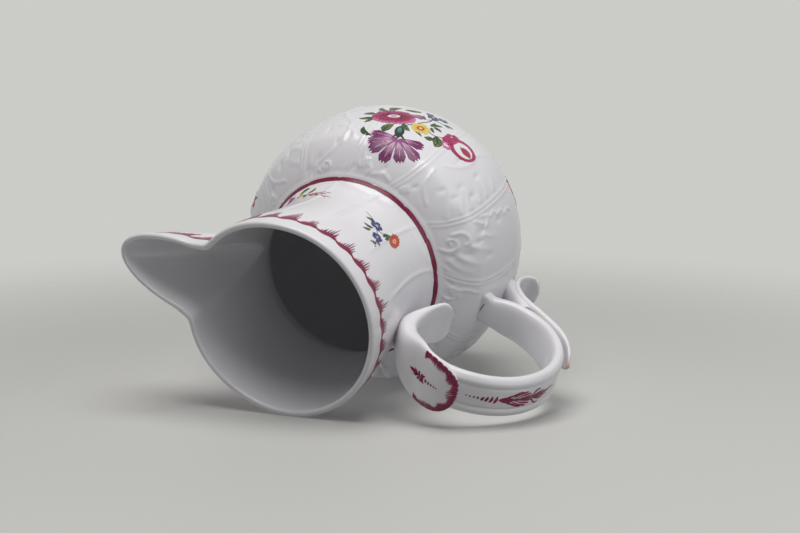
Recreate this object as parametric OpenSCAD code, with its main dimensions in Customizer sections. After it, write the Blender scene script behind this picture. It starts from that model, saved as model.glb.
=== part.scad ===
// Porcelain ewer: globular belly on a low foot, waisted neck, beak spout and a C-scroll strap handle.
// The axis of the body is Z, the spout points along +X and the handle along -X.
// The origin is the middle of the foot's underside, so the ewer stands on the plane z = 0.

/* [Body] */
// Height of the rim above the table
rim_h = 183; // [165:1:210]
// Inside diameter of the mouth at the rim
mouth_d = 90; // [70:1:110]
// Wall thickness of the neck and the belly
wall = 2.8; // [1.8:0.1:5]
// Thickness of the rounded lip of the rim
lip_t = 3; // [2:0.1:5]
// Outside diameter of the neck at its narrowest
waist_d = 85.6; // [70:0.1:96]
// Height of the narrowest part of the neck
waist_h = 122; // [114:1:134]
// Outside diameter where the neck meets the belly
joint_d = 94.4; // [82:0.1:106]
// Height where the neck meets the belly
joint_h = 106.5; // [98:0.5:112]
// Greatest outside diameter of the belly
belly_d = 141.2; // [124:0.2:160]
// Height of the belly's widest level
belly_h = 66; // [58:1:76]
// Height from the widest level to where the belly's oval would close
belly_rise = 74; // [64:0.2:84]

/* [Foot] */
// Outside diameter of the foot ring on the table
foot_d = 86; // [70:1:104]
// Width of the face that the foot ring stands on
foot_face = 5; // [3:0.5:10]
// Slope of the foot ring's outside, from the table to the belly
foot_lean = 1.5; // [0:0.5:4]
// Height of the belly's underside above the table
base_h = 5; // [3:0.5:10]

/* [Spout] */
// Distance from the body's axis to the tip of the spout
spout_reach = 88; // [74:1:104]
// Width of the spout where it leaves the rim
spout_w = 44; // [32:1:54]
// How far below the rim the spout starts on the neck
spout_drop = 56; // [40:1:66]
// Wall thickness of the spout
spout_wall = 2.4; // [1.6:0.1:4]

/* [Handle] */
// Distance from the body's axis to the outside of the strap
strap_reach = 120.5; // [108:0.5:140]
// Distance from the body's axis to the middle of the bow
bow_u = 79.5; // [74:0.5:86]
// Height of the strap's upper run, at mid thickness
strap_top_h = 170.5; // [158:0.5:176]
// Height of the strap's root on the belly, at mid thickness
strap_root_h = 88; // [78:0.5:94]
// Width of the strap
strap_w = 21; // [14:0.5:30]
// Thickness of the strap
strap_t = 6.5; // [4:0.1:9]

/* [Upper bracket] */
// Width of the cartouche leaf over the strap
cartouche_w = 27; // [18:0.5:36]
// Distance from the body's axis to the point of the cartouche leaf
cartouche_reach = 90; // [82:0.5:98]
// Thickness of the cartouche leaf over the strap
cartouche_t = 4.2; // [2:0.1:7]
// Height of the bracket's root on the neck, at its middle
bracket_h = 150; // [142:0.5:156]
// Depth of the bracket's root along the neck
bracket_depth = 18; // [12:0.5:24]

/* [Upper tongue] */
// Width of the tongue that hangs inside the handle
tongue_w = 24; // [16:0.5:32]
// Thickness of the tongue
tongue_t = 5; // [3:0.1:7]
// Length of the tongue below the bracket
tongue_l = 24; // [18:0.5:32]
// How far the tongue's end stands out from its top
tongue_flare = 9; // [4:0.5:14]

/* [Lower bracket] */
// Height of the lower bracket's root on the belly
lower_root_h = 62; // [54:0.5:66]
// Width of the lower bracket, the volute and the leaf
lower_w = 17; // [12:0.5:24]
// Thickness of the lower bracket
lower_t = 7; // [4:0.1:9]
// Thickness of the volute and of the leaf
curl_t = 4.6; // [3:0.1:6]
// Radius of the volute's curl, at mid thickness
volute_r = 4.8; // [4:0.1:7]
// Gap between the strap and the leaf's free end
leaf_gap = 2.4; // [1:0.1:4]
// How far the leaf rises past its root, as an angle around the bow
leaf_turn = 42; // [32:1:58]

/* [Hidden] */
$fn = 96;

// Steps along a shaped curve
steps = 12;
porcelain = [0.93, 0.93, 0.92];
porcelain_shade = [0.88, 0.88, 0.87];

mouth_r = mouth_d / 2;
lip_r = mouth_r + lip_t;
belly_r = belly_d / 2;
joint_r = joint_d / 2;
waist_r = waist_d / 2;
foot_r = foot_d / 2;

// Points of a cubic curve from a to d, shaped by b and c
function curve(a, b, c, d, n = steps) =
    [for (i = [0 : n]) let (t = i / n, s = 1 - t)
        s*s*s*a + 3*s*s*t*b + 3*s*t*t*c + t*t*t*d];

// All but the first point of a list
function tail(list) = [for (i = [1 : len(list) - 1]) list[i]];
function reverse(list) = [for (i = [len(list) - 1 : -1 : 0]) list[i]];
function unit(v) = v / norm(v);

// Unit direction along a run of points, and its left-hand normal
function along(run, i) = unit(run[min(i + 1, len(run) - 1)] - run[max(i - 1, 0)]);
function left(run, i) = let (d = along(run, i)) [-d[1], d[0]];

// Outline of a band that follows a run of points, with a thickness at each end
function band(run, t0, t1) =
    let (n = len(run) - 1, half = [for (i = [0 : n]) (t0 + (t1 - t0) * i / n) / 2])
    concat([for (i = [0 : n]) run[i] + half[i] * left(run, i)],
           [for (i = [n : -1 : 0]) run[i] - half[i] * left(run, i)]);

// Run of points moved to its left by t
function inset(run, t) = [for (i = [0 : len(run) - 1]) run[i] + t * left(run, i)];

// Outside of the belly as radius and height: an oval for most of its rise, then a shoulder to the neck
base_round = 3;
oval_share = 0.685;
shoulder_lead = 0.35;
shoulder_pull = 0.45;
shoulder_reach = 0.4;
shoulder_sag = 0.25;
function oval_r(z) = belly_r * sqrt(1 - pow((z - belly_h) / belly_rise, 2));
function oval(a) = [belly_r * cos(a), belly_h + belly_rise * sin(a)];
oval_start = asin((base_h + base_round - belly_h) / belly_rise);
oval_end = asin(oval_share * (joint_h - belly_h) / belly_rise);
oval_steps = 2 * steps;
oval_turn = (oval_end - oval_start) / oval_steps;
shoulder_low = oval(oval_end);
shoulder_rise = shoulder_lead * (joint_h - shoulder_low[1]);
shoulder_run = shoulder_reach * (shoulder_low[0] - joint_r);
shoulder = curve(shoulder_low,
                 shoulder_low + shoulder_rise * [-shoulder_pull, 1],
                 [joint_r + shoulder_run, joint_h - shoulder_sag * shoulder_run],
                 [joint_r, joint_h]);
belly_side = concat([for (i = [0 : oval_steps]) oval(oval_start + oval_turn * i)], tail(shoulder));
belly_outer = concat([[0, base_h], [oval_r(base_h + base_round) - base_round, base_h]], belly_side);

// Inside of the belly: the same run set in by the wall
floor_h = base_h + wall;
belly_inner = [for (q = inset(belly_side, wall)) if (q[1] > floor_h) [q[0], min(q[1], joint_h)]];

// Outside of the neck as radius and height, from the joint up to the lip
foot_pull = 0.75;
foot_lead = 0.2;
waist_lead = 0.5;
waist_rise = 0.35;
lip_lead = 0.4;
neck_run = joint_r - waist_r;
neck_drop = waist_h - joint_h;
lip_start = [lip_r, rim_h - lip_t / 2];
throat_h = lip_start[1] - waist_h;
neck_low = curve([joint_r, joint_h],
                 [joint_r - foot_pull * neck_run, joint_h + foot_lead * neck_drop],
                 [waist_r, waist_h - waist_lead * neck_drop],
                 [waist_r, waist_h]);
neck_high = curve([waist_r, waist_h],
                  [waist_r, waist_h + waist_rise * throat_h],
                  [lip_r, lip_start[1] - lip_lead * throat_h],
                  lip_start);
neck_outer = concat(neck_low, tail(neck_high));
lip_mid = [mouth_r + lip_t / 2, rim_h - lip_t / 2];
lip_round = [for (a = [20 : 20 : 160]) lip_mid + lip_t / 2 * [cos(a), sin(a)]];
neck_inner = [for (q = inset(neck_outer, wall)) if (q[1] > joint_h && q[1] < rim_h - lip_t) q];

// Solid filled by the outside of the body, for fitting pieces against it
module body_core() {
    core_top = rim_h + lip_t;
    rotate_extrude()
        polygon(concat(belly_outer, tail(neck_outer), [[lip_r, core_top], [0, core_top]]));
}

module foot_ring() {
    top_r = foot_r - foot_lean;
    inner_r = foot_r - foot_face;
    foot_top = base_h + base_round;
    color(porcelain_shade)
        rotate_extrude()
            difference() {
                polygon([[inner_r, 0], [foot_r, 0], [top_r, foot_top], [inner_r, foot_top]]);
                polygon(concat(belly_outer, [[0, joint_h]]));
            }
}

module belly() {
    floor_r = belly_inner[0][0] - base_round;
    color(porcelain)
        rotate_extrude()
            polygon(concat(belly_outer, reverse(belly_inner), [[floor_r, floor_h], [0, floor_h]]));
}

// Spout: flat sections from the neck up to the rim, each a beak that narrows to its tip
spout_low = rim_h - spout_drop;
spout_out = spout_reach - lip_r;
neck_table = [for (q = neck_outer) [q[1], q[0]]];
// Slip between the spout and the neck, so that its straight facets clear the round neck
spout_seat = 0.03;
keel_swell = 0.15;
flare_end = 0.16;
flare_in = 0.13;
beak_full = 1.8;
beak_round = 0.6;
tip_crowding = 1.6;
side_wall = 1.15 * spout_wall;
beak_steps = 9;
function spout_z(t) = spout_low + spout_drop * t;
function seat_r(t) = lookup(spout_z(t), neck_table) + spout_seat;
function keel(t) = (1 + keel_swell) * t - keel_swell * t * t;
function tip_x(t) = seat_r(t) + spout_out * keel(t);
function outer_half(t) = spout_w / 2 * sqrt(t);
function inner_half(t) = outer_half(t) - side_wall;

// Half width of a section as a share, from the neck at s = 0 to the tip at s = 1
function beak_half(s) =
    let (body = max(0, (s - flare_end) / (1 - flare_end)), flare = max(0, 1 - s / flare_end))
    (1 - flare_in) * pow(1 - pow(body, beak_full), beak_round) + flare_in * flare * flare;

// Contour of a section at share t of the spout's height, from one side of the neck to the other
function beak_side(t, tip, half) =
    let (r = seat_r(t), root = sqrt(r * r - half * half))
    [for (i = [0 : beak_steps]) let (s = 1 - pow(1 - i / beak_steps, tip_crowding))
        [root + (tip - root) * s, half * beak_half(s)]];
function beak_contour(t, tip, half) =
    let (side = beak_side(t, tip, half))
    concat([for (q = side) [q[0], -q[1]]], tail(reverse(side)));

// Contour along the neck, for the levels below the channel
function neck_arc(t, half) =
    let (r = seat_r(t), n = 2 * beak_steps)
    [for (i = [0 : n]) let (y = half * (2 * i / n - 1)) [sqrt(r * r - y * y), y]];

// The channel starts where the spout is wide and deep enough for two walls
channel_start = max(pow(4 * side_wall / spout_w, 2), 1.8 * spout_wall / spout_out);
shelf_rise = 0.02;
spout_start = 0.3 * channel_start;
plug_levels = 3;
channel_levels = 9;
plug_shares = [for (k = [0 : plug_levels])
    spout_start + (channel_start - spout_start) * k / plug_levels];
channel_low = channel_start + shelf_rise;
channel_shares = [for (k = [0 : channel_levels])
    channel_low + (1 - channel_low) * k / channel_levels];

// Closed ring of a section: its outer contour, then its inner contour backwards
function ring(t, inner) =
    [for (q = concat(beak_contour(t, tip_x(t), outer_half(t)), reverse(inner))) [q[0], q[1], spout_z(t)]];
spout_rings = concat(
    [for (t = plug_shares) ring(t, neck_arc(t, outer_half(t) * inner_half(1) / outer_half(1)))],
    [for (t = channel_shares) ring(t, beak_contour(t, tip_x(t) - spout_wall, inner_half(t)))]);

module spout() {
    n = len(spout_rings[0]);
    m = len(spout_rings) - 1;
    last = n / 2 - 1;
    points = [for (one = spout_rings) for (q = one) q];
    sides = [for (k = [0 : m - 1]) for (i = [0 : n - 1]) let (a = k * n + i, b = k * n + (i + 1) % n)
        each [[a, b + n, b], [a, a + n, b + n]]];
    low = [for (i = [0 : last - 1]) let (j = n - 1 - i) each [[i, i + 1, j - 1], [i, j - 1, j]]];
    high = [for (face = low) [for (v = reverse(face)) v + m * n]];
    color(porcelain)
        polyhedron(points, concat(sides, low, high));
}

// The opening in the neck's wall behind the spout
module spout_slot() {
    back_x = mouth_r / 2;
    edge = [for (t = concat([channel_start], channel_shares)) [inner_half(t), spout_z(t)]];
    run = concat(edge, [[inner_half(1), rim_h + lip_t]]);
    translate([back_x, 0, 0])
        rotate([90, 0, 90])
            linear_extrude(height = spout_reach - back_x)
                polygon(concat(run, reverse([for (q = run) [-q[0], q[1]]])));
}

module neck() {
    color(porcelain)
        difference() {
            rotate_extrude()
                polygon(concat(neck_outer, lip_round, reverse(neck_inner), [[joint_r - wall, joint_h]]));
            spout_slot();
        }
}

// A plate of width w standing in the handle's plane, drawn as distance from the axis and height
module handle_plate(w) {
    rotate([90, 0, 0])
        linear_extrude(height = w, center = true)
            mirror([1, 0])
                children();
}

// Strap: half an oval bow, with straight ends towards the body
strap_lead = 15.5;
strap_end_drop = 4;
bow_steps = 28;
bow_h = (strap_top_h + strap_root_h) / 2;
bow_rise = (strap_top_h - strap_root_h) / 2;
bow_out = strap_reach - strap_t / 2 - bow_u;
strap_start = bow_u - strap_lead;
function bow(a, off = 0) = [bow_u + (bow_out + off) * cos(a), bow_h + (bow_rise + off) * sin(a)];
strap_run = concat([[joint_r, strap_root_h]],
                   [for (i = [0 : bow_steps]) bow(-90 + 180 * i / bow_steps)],
                   [[strap_start, strap_top_h - strap_end_drop]]);
module strap_outline() {
    polygon(band(strap_run, strap_t, strap_t));
}

module handle_strap() {
    color(porcelain)
        difference() {
            handle_plate(strap_w)
                strap_outline();
            body_core();
        }
}

// Upper bracket: a block from the neck that ends in a pointed leaf lying on the strap
bracket_top = bracket_h + bracket_depth / 2;
bracket_low = bracket_h - bracket_depth / 2;
bracket_run = strap_start - waist_r;
bracket_in = waist_r - wall;
strap_face_h = strap_top_h + strap_t / 2;
leaf_run = cartouche_reach - strap_start;
leaf_crest = 0.4;
point_rise = 0.5;
point_half = 0.6;
crown_u = waist_r + 0.54 * bracket_run;

// Height of the strap's outer face, at distance u from the axis
face_out = bow_out + strap_t / 2;
face_rise = bow_rise + strap_t / 2;
function strap_face(u) =
    u < bow_u ? strap_face_h - strap_end_drop * (bow_u - u) / strap_lead
              : bow_h + face_rise * sqrt(1 - pow((u - bow_u) / face_out, 2));

// Height of the leaf over the strap, from its start at s = 0 to its point at s = 1
function leaf_h(s) =
    point_rise + (cartouche_t - point_rise) * (1 - pow((s - leaf_crest) / (1 - leaf_crest), 2));
leaf_us = [for (i = [0 : steps]) strap_start + leaf_run * i / steps];
leaf_crown = [for (i = [0 : steps]) [leaf_us[i], strap_face(leaf_us[i]) + leaf_h(i / steps)]];
leaf_under = [for (u = leaf_us) [u, strap_face(u) - strap_t / 2]];
bracket_crown = curve([bracket_in, bracket_top],
                      [crown_u, bracket_top],
                      [crown_u, strap_top_h - strap_t / 2],
                      leaf_crown[0]);
bracket_under = curve([strap_start + 0.28 * bracket_run, strap_top_h - strap_t / 2],
                      [strap_start - 0.1 * bracket_run, strap_top_h - strap_t],
                      [strap_start - 0.19 * bracket_run, bracket_low + bracket_depth / 3],
                      [bracket_in, bracket_low]);
module bracket_outline() {
    difference() {
        polygon(concat(bracket_crown, tail(leaf_crown), reverse(leaf_under), bracket_under));
        strap_outline();
    }
}

// Plan of the bracket: narrow at the neck, then a shield with its point on the strap
module shield_plan() {
    shield_half = cartouche_w / 2;
    root_half = 0.64 * shield_half;
    side = concat(curve([waist_r, root_half],
                        [waist_r + 0.38 * bracket_run, root_half],
                        [strap_start - 0.38 * bracket_run, shield_half],
                        [strap_start, shield_half]),
                  tail(curve([strap_start, shield_half],
                             [strap_start + 0.46 * leaf_run, shield_half],
                             [cartouche_reach - 0.12 * leaf_run, 0.84 * shield_half],
                             [cartouche_reach + point_rise, point_half])));
    mirrored = reverse([for (q = side) [q[0], -q[1]]]);
    polygon(concat([[0, root_half]], side, mirrored, [[0, -root_half]]));
}

module upper_bracket() {
    color(porcelain)
        difference() {
            intersection() {
                handle_plate(cartouche_w)
                    bracket_outline();
                linear_extrude(height = rim_h + cartouche_t)
                    mirror([1, 0])
                        shield_plan();
            }
            body_core();
        }
}

// Tongue outline seen along the handle: square above, with round corners at its end
module tongue_front(w, corner, end_h, root_h, root_depth) {
    corner_y = w / 2 - corner;
    toward = sign(root_h - end_h);
    hull() {
        for (side = [-1, 1])
            translate([side * corner_y, end_h + toward * corner])
                circle(corner, $fn = 48);
        translate([-w / 2, root_h])
            square([w, root_depth]);
    }
}

// Upper tongue: the inner end of the scroll, hanging from the bracket and turning outwards
tongue_gap = 0.4 * bracket_run;
tongue_lean = 1;
tongue_taper = 1;
tongue_u = waist_r + tongue_gap;
tongue_end = [tongue_u + tongue_flare, bracket_low - tongue_l];
tongue_run = curve([tongue_u - tongue_lean, bracket_h],
                   [tongue_u - 2 * tongue_lean, bracket_low - 0.3 * tongue_l],
                   [tongue_u + 0.1 * tongue_flare, bracket_low - 0.65 * tongue_l],
                   tongue_end);
module upper_tongue() {
    color(porcelain)
        difference() {
            intersection() {
                handle_plate(tongue_w)
                    difference() {
                        polygon(band(tongue_run, tongue_t + tongue_taper, tongue_t - tongue_taper));
                        bracket_outline();
                    }
                rotate([90, 0, -90])
                    linear_extrude(height = tongue_end[0] + tongue_t)
                        tongue_front(tongue_w, 0.4 * tongue_w, tongue_end[1] - tongue_taper, bracket_h,
                                     bracket_depth);
            }
            body_core();
        }
}

// Lower bracket: a strut from the belly out to the underside of the strap
lower_sink = 8;
lower_taper = 1;
lower_meet = -72;
lower_end = bow(lower_meet);
lower_rise = lower_end[1] - lower_root_h;
lower_run = curve([belly_r - lower_sink, lower_root_h],
                  [belly_r + 0.18 * lower_rise, lower_root_h],
                  [belly_r + 0.27 * lower_rise, lower_root_h + 0.35 * lower_rise],
                  lower_end);
module lower_outline() {
    difference() {
        polygon(band(lower_run, lower_t, lower_t - lower_taper));
        strap_outline();
    }
}
module lower_bracket() {
    color(porcelain)
        difference() {
            handle_plate(lower_w)
                lower_outline();
            body_core();
        }
}

// Lower volute: a curl that leaves the strut's underside and turns outwards
volute_gap = 4.4;
volute_taper = 0.7;
volute_c = [belly_r + volute_gap + curl_t / 2, lower_root_h - lower_t / 2 - volute_r];
volute_run = concat([[volute_c[0] - volute_r, lower_root_h]],
                    [for (a = [180 : 15 : 390]) volute_c + volute_r * [cos(a), sin(a)]]);
module lower_volute() {
    color(porcelain)
        difference() {
            handle_plate(lower_w)
                difference() {
                    polygon(band(volute_run, curl_t, volute_taper * curl_t));
                    lower_outline();
                }
            body_core();
        }
}

// Lower leaf: a tongue that runs outside the strap, free at its tip
leaf_start = -66;
leaf_hug = 0.75;
leaf_thick = curl_t + 1;
leaf_thin = curl_t - 1.5;
leaf_off = strap_t / 2 + curl_t / 2 + leaf_gap;
leaf_line = [for (i = [0 : steps]) let (s = i / steps)
    bow(leaf_start + leaf_turn * s, leaf_off * (leaf_hug + (1 - leaf_hug) * s))];
module lower_leaf() {
    tip = leaf_line[steps];
    color(porcelain)
        intersection() {
            handle_plate(lower_w)
                difference() {
                    polygon(band(leaf_line, leaf_thick, leaf_thin));
                    strap_outline();
                    lower_outline();
                }
            rotate([90, 0, -90])
                linear_extrude(height = tip[0] + lower_w)
                    tongue_front(lower_w, 0.45 * lower_w, tip[1] + point_rise, lower_root_h - lower_t,
                                 lower_t);
        }
}

foot_ring();
belly();
neck();
spout();
handle_strap();
upper_bracket();
upper_tongue();
lower_bracket();
lower_volute();
lower_leaf();
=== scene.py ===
import math

import bmesh
import bpy
import numpy as np
from mathutils import Matrix, Vector


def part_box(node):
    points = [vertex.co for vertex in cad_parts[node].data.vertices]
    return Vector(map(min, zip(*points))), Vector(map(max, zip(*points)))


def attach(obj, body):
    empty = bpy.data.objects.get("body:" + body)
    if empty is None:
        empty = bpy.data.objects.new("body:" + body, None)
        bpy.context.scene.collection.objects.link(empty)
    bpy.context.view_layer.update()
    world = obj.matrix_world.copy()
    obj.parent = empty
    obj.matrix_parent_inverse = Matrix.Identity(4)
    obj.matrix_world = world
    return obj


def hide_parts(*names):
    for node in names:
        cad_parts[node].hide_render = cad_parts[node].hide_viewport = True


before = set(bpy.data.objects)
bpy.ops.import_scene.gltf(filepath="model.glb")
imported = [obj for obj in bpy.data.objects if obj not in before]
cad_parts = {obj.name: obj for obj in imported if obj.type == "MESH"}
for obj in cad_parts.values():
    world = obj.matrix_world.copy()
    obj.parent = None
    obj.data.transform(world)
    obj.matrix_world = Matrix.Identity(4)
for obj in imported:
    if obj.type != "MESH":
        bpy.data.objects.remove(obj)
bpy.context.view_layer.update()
mm = 0.001  # sizes below are millimetres, meshes are metres
print("stage: frame loaded,", len(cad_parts), "nodes")


def nodeBox(node):
    low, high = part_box(node)
    return np.array(low) / mm, np.array(high) / mm


bellyLow, bellyTop = nodeBox("belly")
neckTop = nodeBox("neck")[1]
spoutTop = nodeBox("spout")[1]
footTop = nodeBox("foot_ring")[1]
strapLow, strapTop = nodeBox("handle_strap")


# Curves and small helpers

def bend(a, b, c, d, count):
    # cubic from a to d, drawn towards b and c
    t = np.linspace(0, 1, count + 1)[:, None]
    s = 1 - t
    return s**3 * np.array(a) + 3 * s * s * t * np.array(b) + 3 * s * t * t * np.array(c) + t**3 * np.array(d)


def evenRun(points, count):
    # the same run with its points evenly spaced
    points = np.asarray(points, float)
    steps = np.linalg.norm(np.diff(points, axis=0), axis=1)
    along = np.concatenate([[0], np.cumsum(steps)])
    wanted = np.linspace(0, along[-1], count)
    return np.stack([np.interp(wanted, along, points[:, k]) for k in range(points.shape[1])], 1)


def smoothRun(points, count):
    # a smooth line through a few given points
    p = np.asarray(points, float)
    p = np.concatenate([[2 * p[0] - p[1]], p, [2 * p[-1] - p[-2]]])
    parts = []
    for a, b, c, d in zip(p, p[1:], p[2:], p[3:]):
        t = np.linspace(0, 1, 24, endpoint=False)[:, None]
        parts.append(0.5 * (2 * b + (c - a) * t + (2 * a - 5 * b + 4 * c - d) * t**2
                            + (3 * b - a - 3 * c + d) * t**3))
    parts.append(p[-2:-1])
    return evenRun(np.concatenate(parts), count)


def fade(low, high, x):
    t = np.clip((x - low) / (high - low), 0, 1)
    return t * t * (3 - 2 * t)


def deselect():
    if bpy.context.mode != "OBJECT":
        bpy.ops.object.mode_set(mode="OBJECT")
    bpy.ops.object.select_all(action="DESELECT")


def meshPoints(piece):
    flat = np.empty(len(piece.data.vertices) * 3)
    piece.data.vertices.foreach_get("co", flat)
    return flat.reshape(-1, 3) / mm


def setPoints(piece, points):
    piece.data.vertices.foreach_set("co", (points * mm).ravel())
    piece.data.update()


def applyModifier(piece, kind, **settings):
    deselect()
    piece.select_set(True)
    bpy.context.view_layer.objects.active = piece
    modifier = piece.modifiers.new(kind.title(), kind)
    for key, value in settings.items():
        setattr(modifier, key, value)
    bpy.ops.object.modifier_apply(modifier=modifier.name)


def spinRun(name, run, steps):
    # a profile drawn by extruding one vertex, then spun round the axis
    deselect()
    bpy.ops.mesh.primitive_plane_add(size=mm)
    piece = bpy.context.object
    piece.name = name
    bpy.ops.object.mode_set(mode="EDIT")
    bpy.ops.mesh.merge(type="CENTER")
    bpy.ops.transform.translate(value=(run[0][0] * mm, 0, run[0][1] * mm))
    for here, there in zip(run, run[1:]):
        move = ((there[0] - here[0]) * mm, 0, (there[1] - here[1]) * mm)
        bpy.ops.mesh.extrude_region_move(TRANSFORM_OT_translate={"value": move})
    bpy.ops.mesh.select_all(action="SELECT")
    bpy.ops.mesh.spin(steps=steps, angle=2 * math.pi, center=(0, 0, 0), axis=(0, 0, 1))
    bpy.ops.mesh.select_all(action="SELECT")
    bpy.ops.mesh.remove_doubles(threshold=2e-6)
    bpy.ops.mesh.normals_make_consistent(inside=False)
    bpy.ops.object.mode_set(mode="OBJECT")
    return piece


def sweepRings(name, rings):
    # a closed band: one filled ring, extruded from station to station
    deselect()
    bpy.ops.mesh.primitive_circle_add(vertices=len(rings[0]), radius=mm, fill_type="NGON")
    piece = bpy.context.object
    piece.name = name
    bpy.ops.object.mode_set(mode="EDIT")
    shape = bmesh.from_edit_mesh(piece.data)
    places = {}
    for index, (vertex, place) in enumerate(zip(shape.verts, rings[0])):
        vertex.co = Vector(place) * mm
        places[vertex.co.to_tuple(7)] = index
    for ring in rings[1:]:
        bpy.ops.mesh.extrude_region_move()
        shape = bmesh.from_edit_mesh(piece.data)
        newPlaces = {}
        for vertex in [v for v in shape.verts if v.select]:
            index = places[vertex.co.to_tuple(7)]
            vertex.co = Vector(ring[index]) * mm
            newPlaces[vertex.co.to_tuple(7)] = index
        places = newPlaces
    bmesh.update_edit_mesh(piece.data)
    bpy.ops.mesh.select_all(action="SELECT")
    bpy.ops.mesh.normals_make_consistent(inside=False)
    bpy.ops.object.mode_set(mode="OBJECT")
    return piece


def smoothShade(piece, degrees=50):
    deselect()
    piece.select_set(True)
    bpy.context.view_layer.objects.active = piece
    bpy.ops.object.shade_smooth_by_angle(angle=math.radians(degrees))


def onBody(piece, slot, *nodes):
    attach(piece, "root")
    if nodes:
        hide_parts(*nodes)


# Profile of the body: belly oval, shoulder, waisted neck

bodySet = {
    "bellyRadius": bellyTop[1],
    "bellyHeight": 66.0,
    "bellyRise": 74.0,
    "baseHeight": bellyLow[2],
    "baseRound": 3.0,
    "shoulderStart": 22.0,
    "jointRadius": 47.2,
    "jointHeight": bellyTop[2],
    "waistRadius": 42.8,
    "waistHeight": 122.0,
    "lipRadius": neckTop[1],
    "rimHeight": neckTop[2],
    "lipThick": 3.0,
    "wall": 2.8,
    "throat": 120.0,
    "undercut": 1.7,
    "relief": 0.75,
}
jointHeight = bodySet["jointHeight"]
jointRadius = bodySet["jointRadius"]
lipStart = bodySet["rimHeight"] - bodySet["lipThick"] / 2
footJoin = bodySet["baseHeight"] + bodySet["baseRound"]


def bellyProfile():
    b = bodySet
    low = math.asin((footJoin - b["bellyHeight"]) / b["bellyRise"])
    turn = np.linspace(low, math.radians(b["shoulderStart"]), 400)
    oval = np.stack([b["bellyRadius"] * np.cos(turn), b["bellyHeight"] + b["bellyRise"] * np.sin(turn)], 1)
    start = oval[-1]
    lead = 0.35 * (jointHeight - start[1])
    reach = 0.4 * (start[0] - jointRadius)
    shoulder = bend(start, start + lead * np.array([-0.45, 1]),
                    [jointRadius + reach, jointHeight - 0.25 * reach], [jointRadius, jointHeight], 200)
    return np.concatenate([oval, shoulder[1:]])


def neckProfile():
    b = bodySet
    run = jointRadius - b["waistRadius"]
    drop = b["waistHeight"] - jointHeight
    throat = lipStart - b["waistHeight"]
    low = bend([jointRadius, jointHeight], [jointRadius - 0.75 * run, jointHeight + 0.2 * drop],
               [b["waistRadius"], b["waistHeight"] - 0.5 * drop], [b["waistRadius"], b["waistHeight"]], 120)
    high = bend(low[-1], [b["waistRadius"], b["waistHeight"] + 0.35 * throat],
                [b["lipRadius"], lipStart - 0.4 * throat], [b["lipRadius"], lipStart], 240)
    return np.concatenate([low, high[1:]])


bellyCurve = bellyProfile()[::-1]  # from the joint down to the foot
bellyArc = np.concatenate([[0], np.cumsum(np.linalg.norm(np.diff(bellyCurve, axis=0), axis=1))])
bellyLength = bellyArc[-1]
bellyTangent = np.gradient(bellyCurve, axis=0)
bellyTangent /= np.linalg.norm(bellyTangent, axis=1)[:, None]
neckCurve = neckProfile()


def neckRound(height):
    return np.interp(height, neckCurve[:, 1], neckCurve[:, 0])


# Moulded relief of the belly, in degrees round the axis and millimetres below the neck joint

ribSet = {
    "count": 12,
    "first": -37.5,
    "sway": -10.0,
    "settle": 10.0,
    "back": 0.05,
    "gap": 1.05,
    "wide": 0.6,
    "tall": 0.33,
    "mould": 1.2,
    "pit": 0.45,
}


def ribSway(s):
    return ribSet["sway"] * (1 - np.exp(-s / ribSet["settle"])) + ribSet["back"] * np.maximum(0, s - 25)


def spiral(across, down, start, turns, radius, hand=1):
    t = np.linspace(0, 1, 26)
    angle = math.radians(start) + hand * turns * 2 * math.pi * t
    size = radius * (1 - 0.82 * t)
    return np.stack([across + size * np.cos(angle), down + size * np.sin(angle)], 1)


def frond(spine, shares, reach, lean):
    # leaflets that branch off a mould line on alternate sides
    slope = np.gradient(spine, axis=0)
    slope /= np.linalg.norm(slope, axis=1)[:, None]
    leaflets = []
    for number, share in enumerate(shares):
        root, ahead = (run[int(share * (len(spine) - 1))] for run in (spine, slope))
        side = (-1) ** number * np.array([-ahead[1], ahead[0]])
        mid, tip = root + reach * (0.55 * side + 0.1 * lean * ahead), root + reach * (side + lean * ahead)
        leaflets.append((smoothRun([root, mid, tip], 10), 1.2, 0.34, 0.05))
    return leaflets


# each mould line: points (across, down), half width, height, and the height at its far end where that is less
scrollSpine = smoothRun([(6.2, 27), (3.5, 36), (-2.5, 44), (-5, 54), (-3.5, 66)], 36)
scrollMould = [
    (spiral(1.2, 5.8, 200, 1.5, 3.2), 0.7, 0.55),
    (smoothRun([(-3.6, 8.6), (0, 11.4), (4, 16), (6.2, 20), (6, 25), (8.4, 26.8), (10.8, 22.6)], 40),
     0.9, 0.34),
    (smoothRun([(-9, 9), (-10.5, 15), (-8, 21), (-3.5, 24)], 20), 1.0, 0.2, 0.02),
    (scrollSpine, 0.9, 0.36),
    (spiral(-6.8, 66, 0, 1.3, 3.6), 0.8, 0.45),
] + frond(scrollSpine, (0.12, 0.24, 0.36, 0.5, 0.64, 0.78), 6.5, 0.5)
shellMould = [
    (smoothRun([(-12.5, 24.5), (-8.8, 15.4), (-4.6, 11.2), (2.7, 7.8)], 24), 0.7, 0.35),
    (smoothRun([(-11, 30), (-6, 36), (-3, 46), (-4, 58), (-1, 66)], 30), 1.0, 0.28),
    (spiral(-8.6, 5.8, 100, 1.3, 2.4), 0.7, 0.4),
]
for s, reach in ((12, 8.5), (20.5, 6.5), (27, 9), (36, 7), (43, 8.5), (52, 6)):
    shellMould.append((smoothRun([(13.8, s), (13.8 - 0.5 * reach, s + 1.6), (13.8 - reach, s + 5.5)], 12),
                       1.5, 0.34, 0.05))
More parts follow.
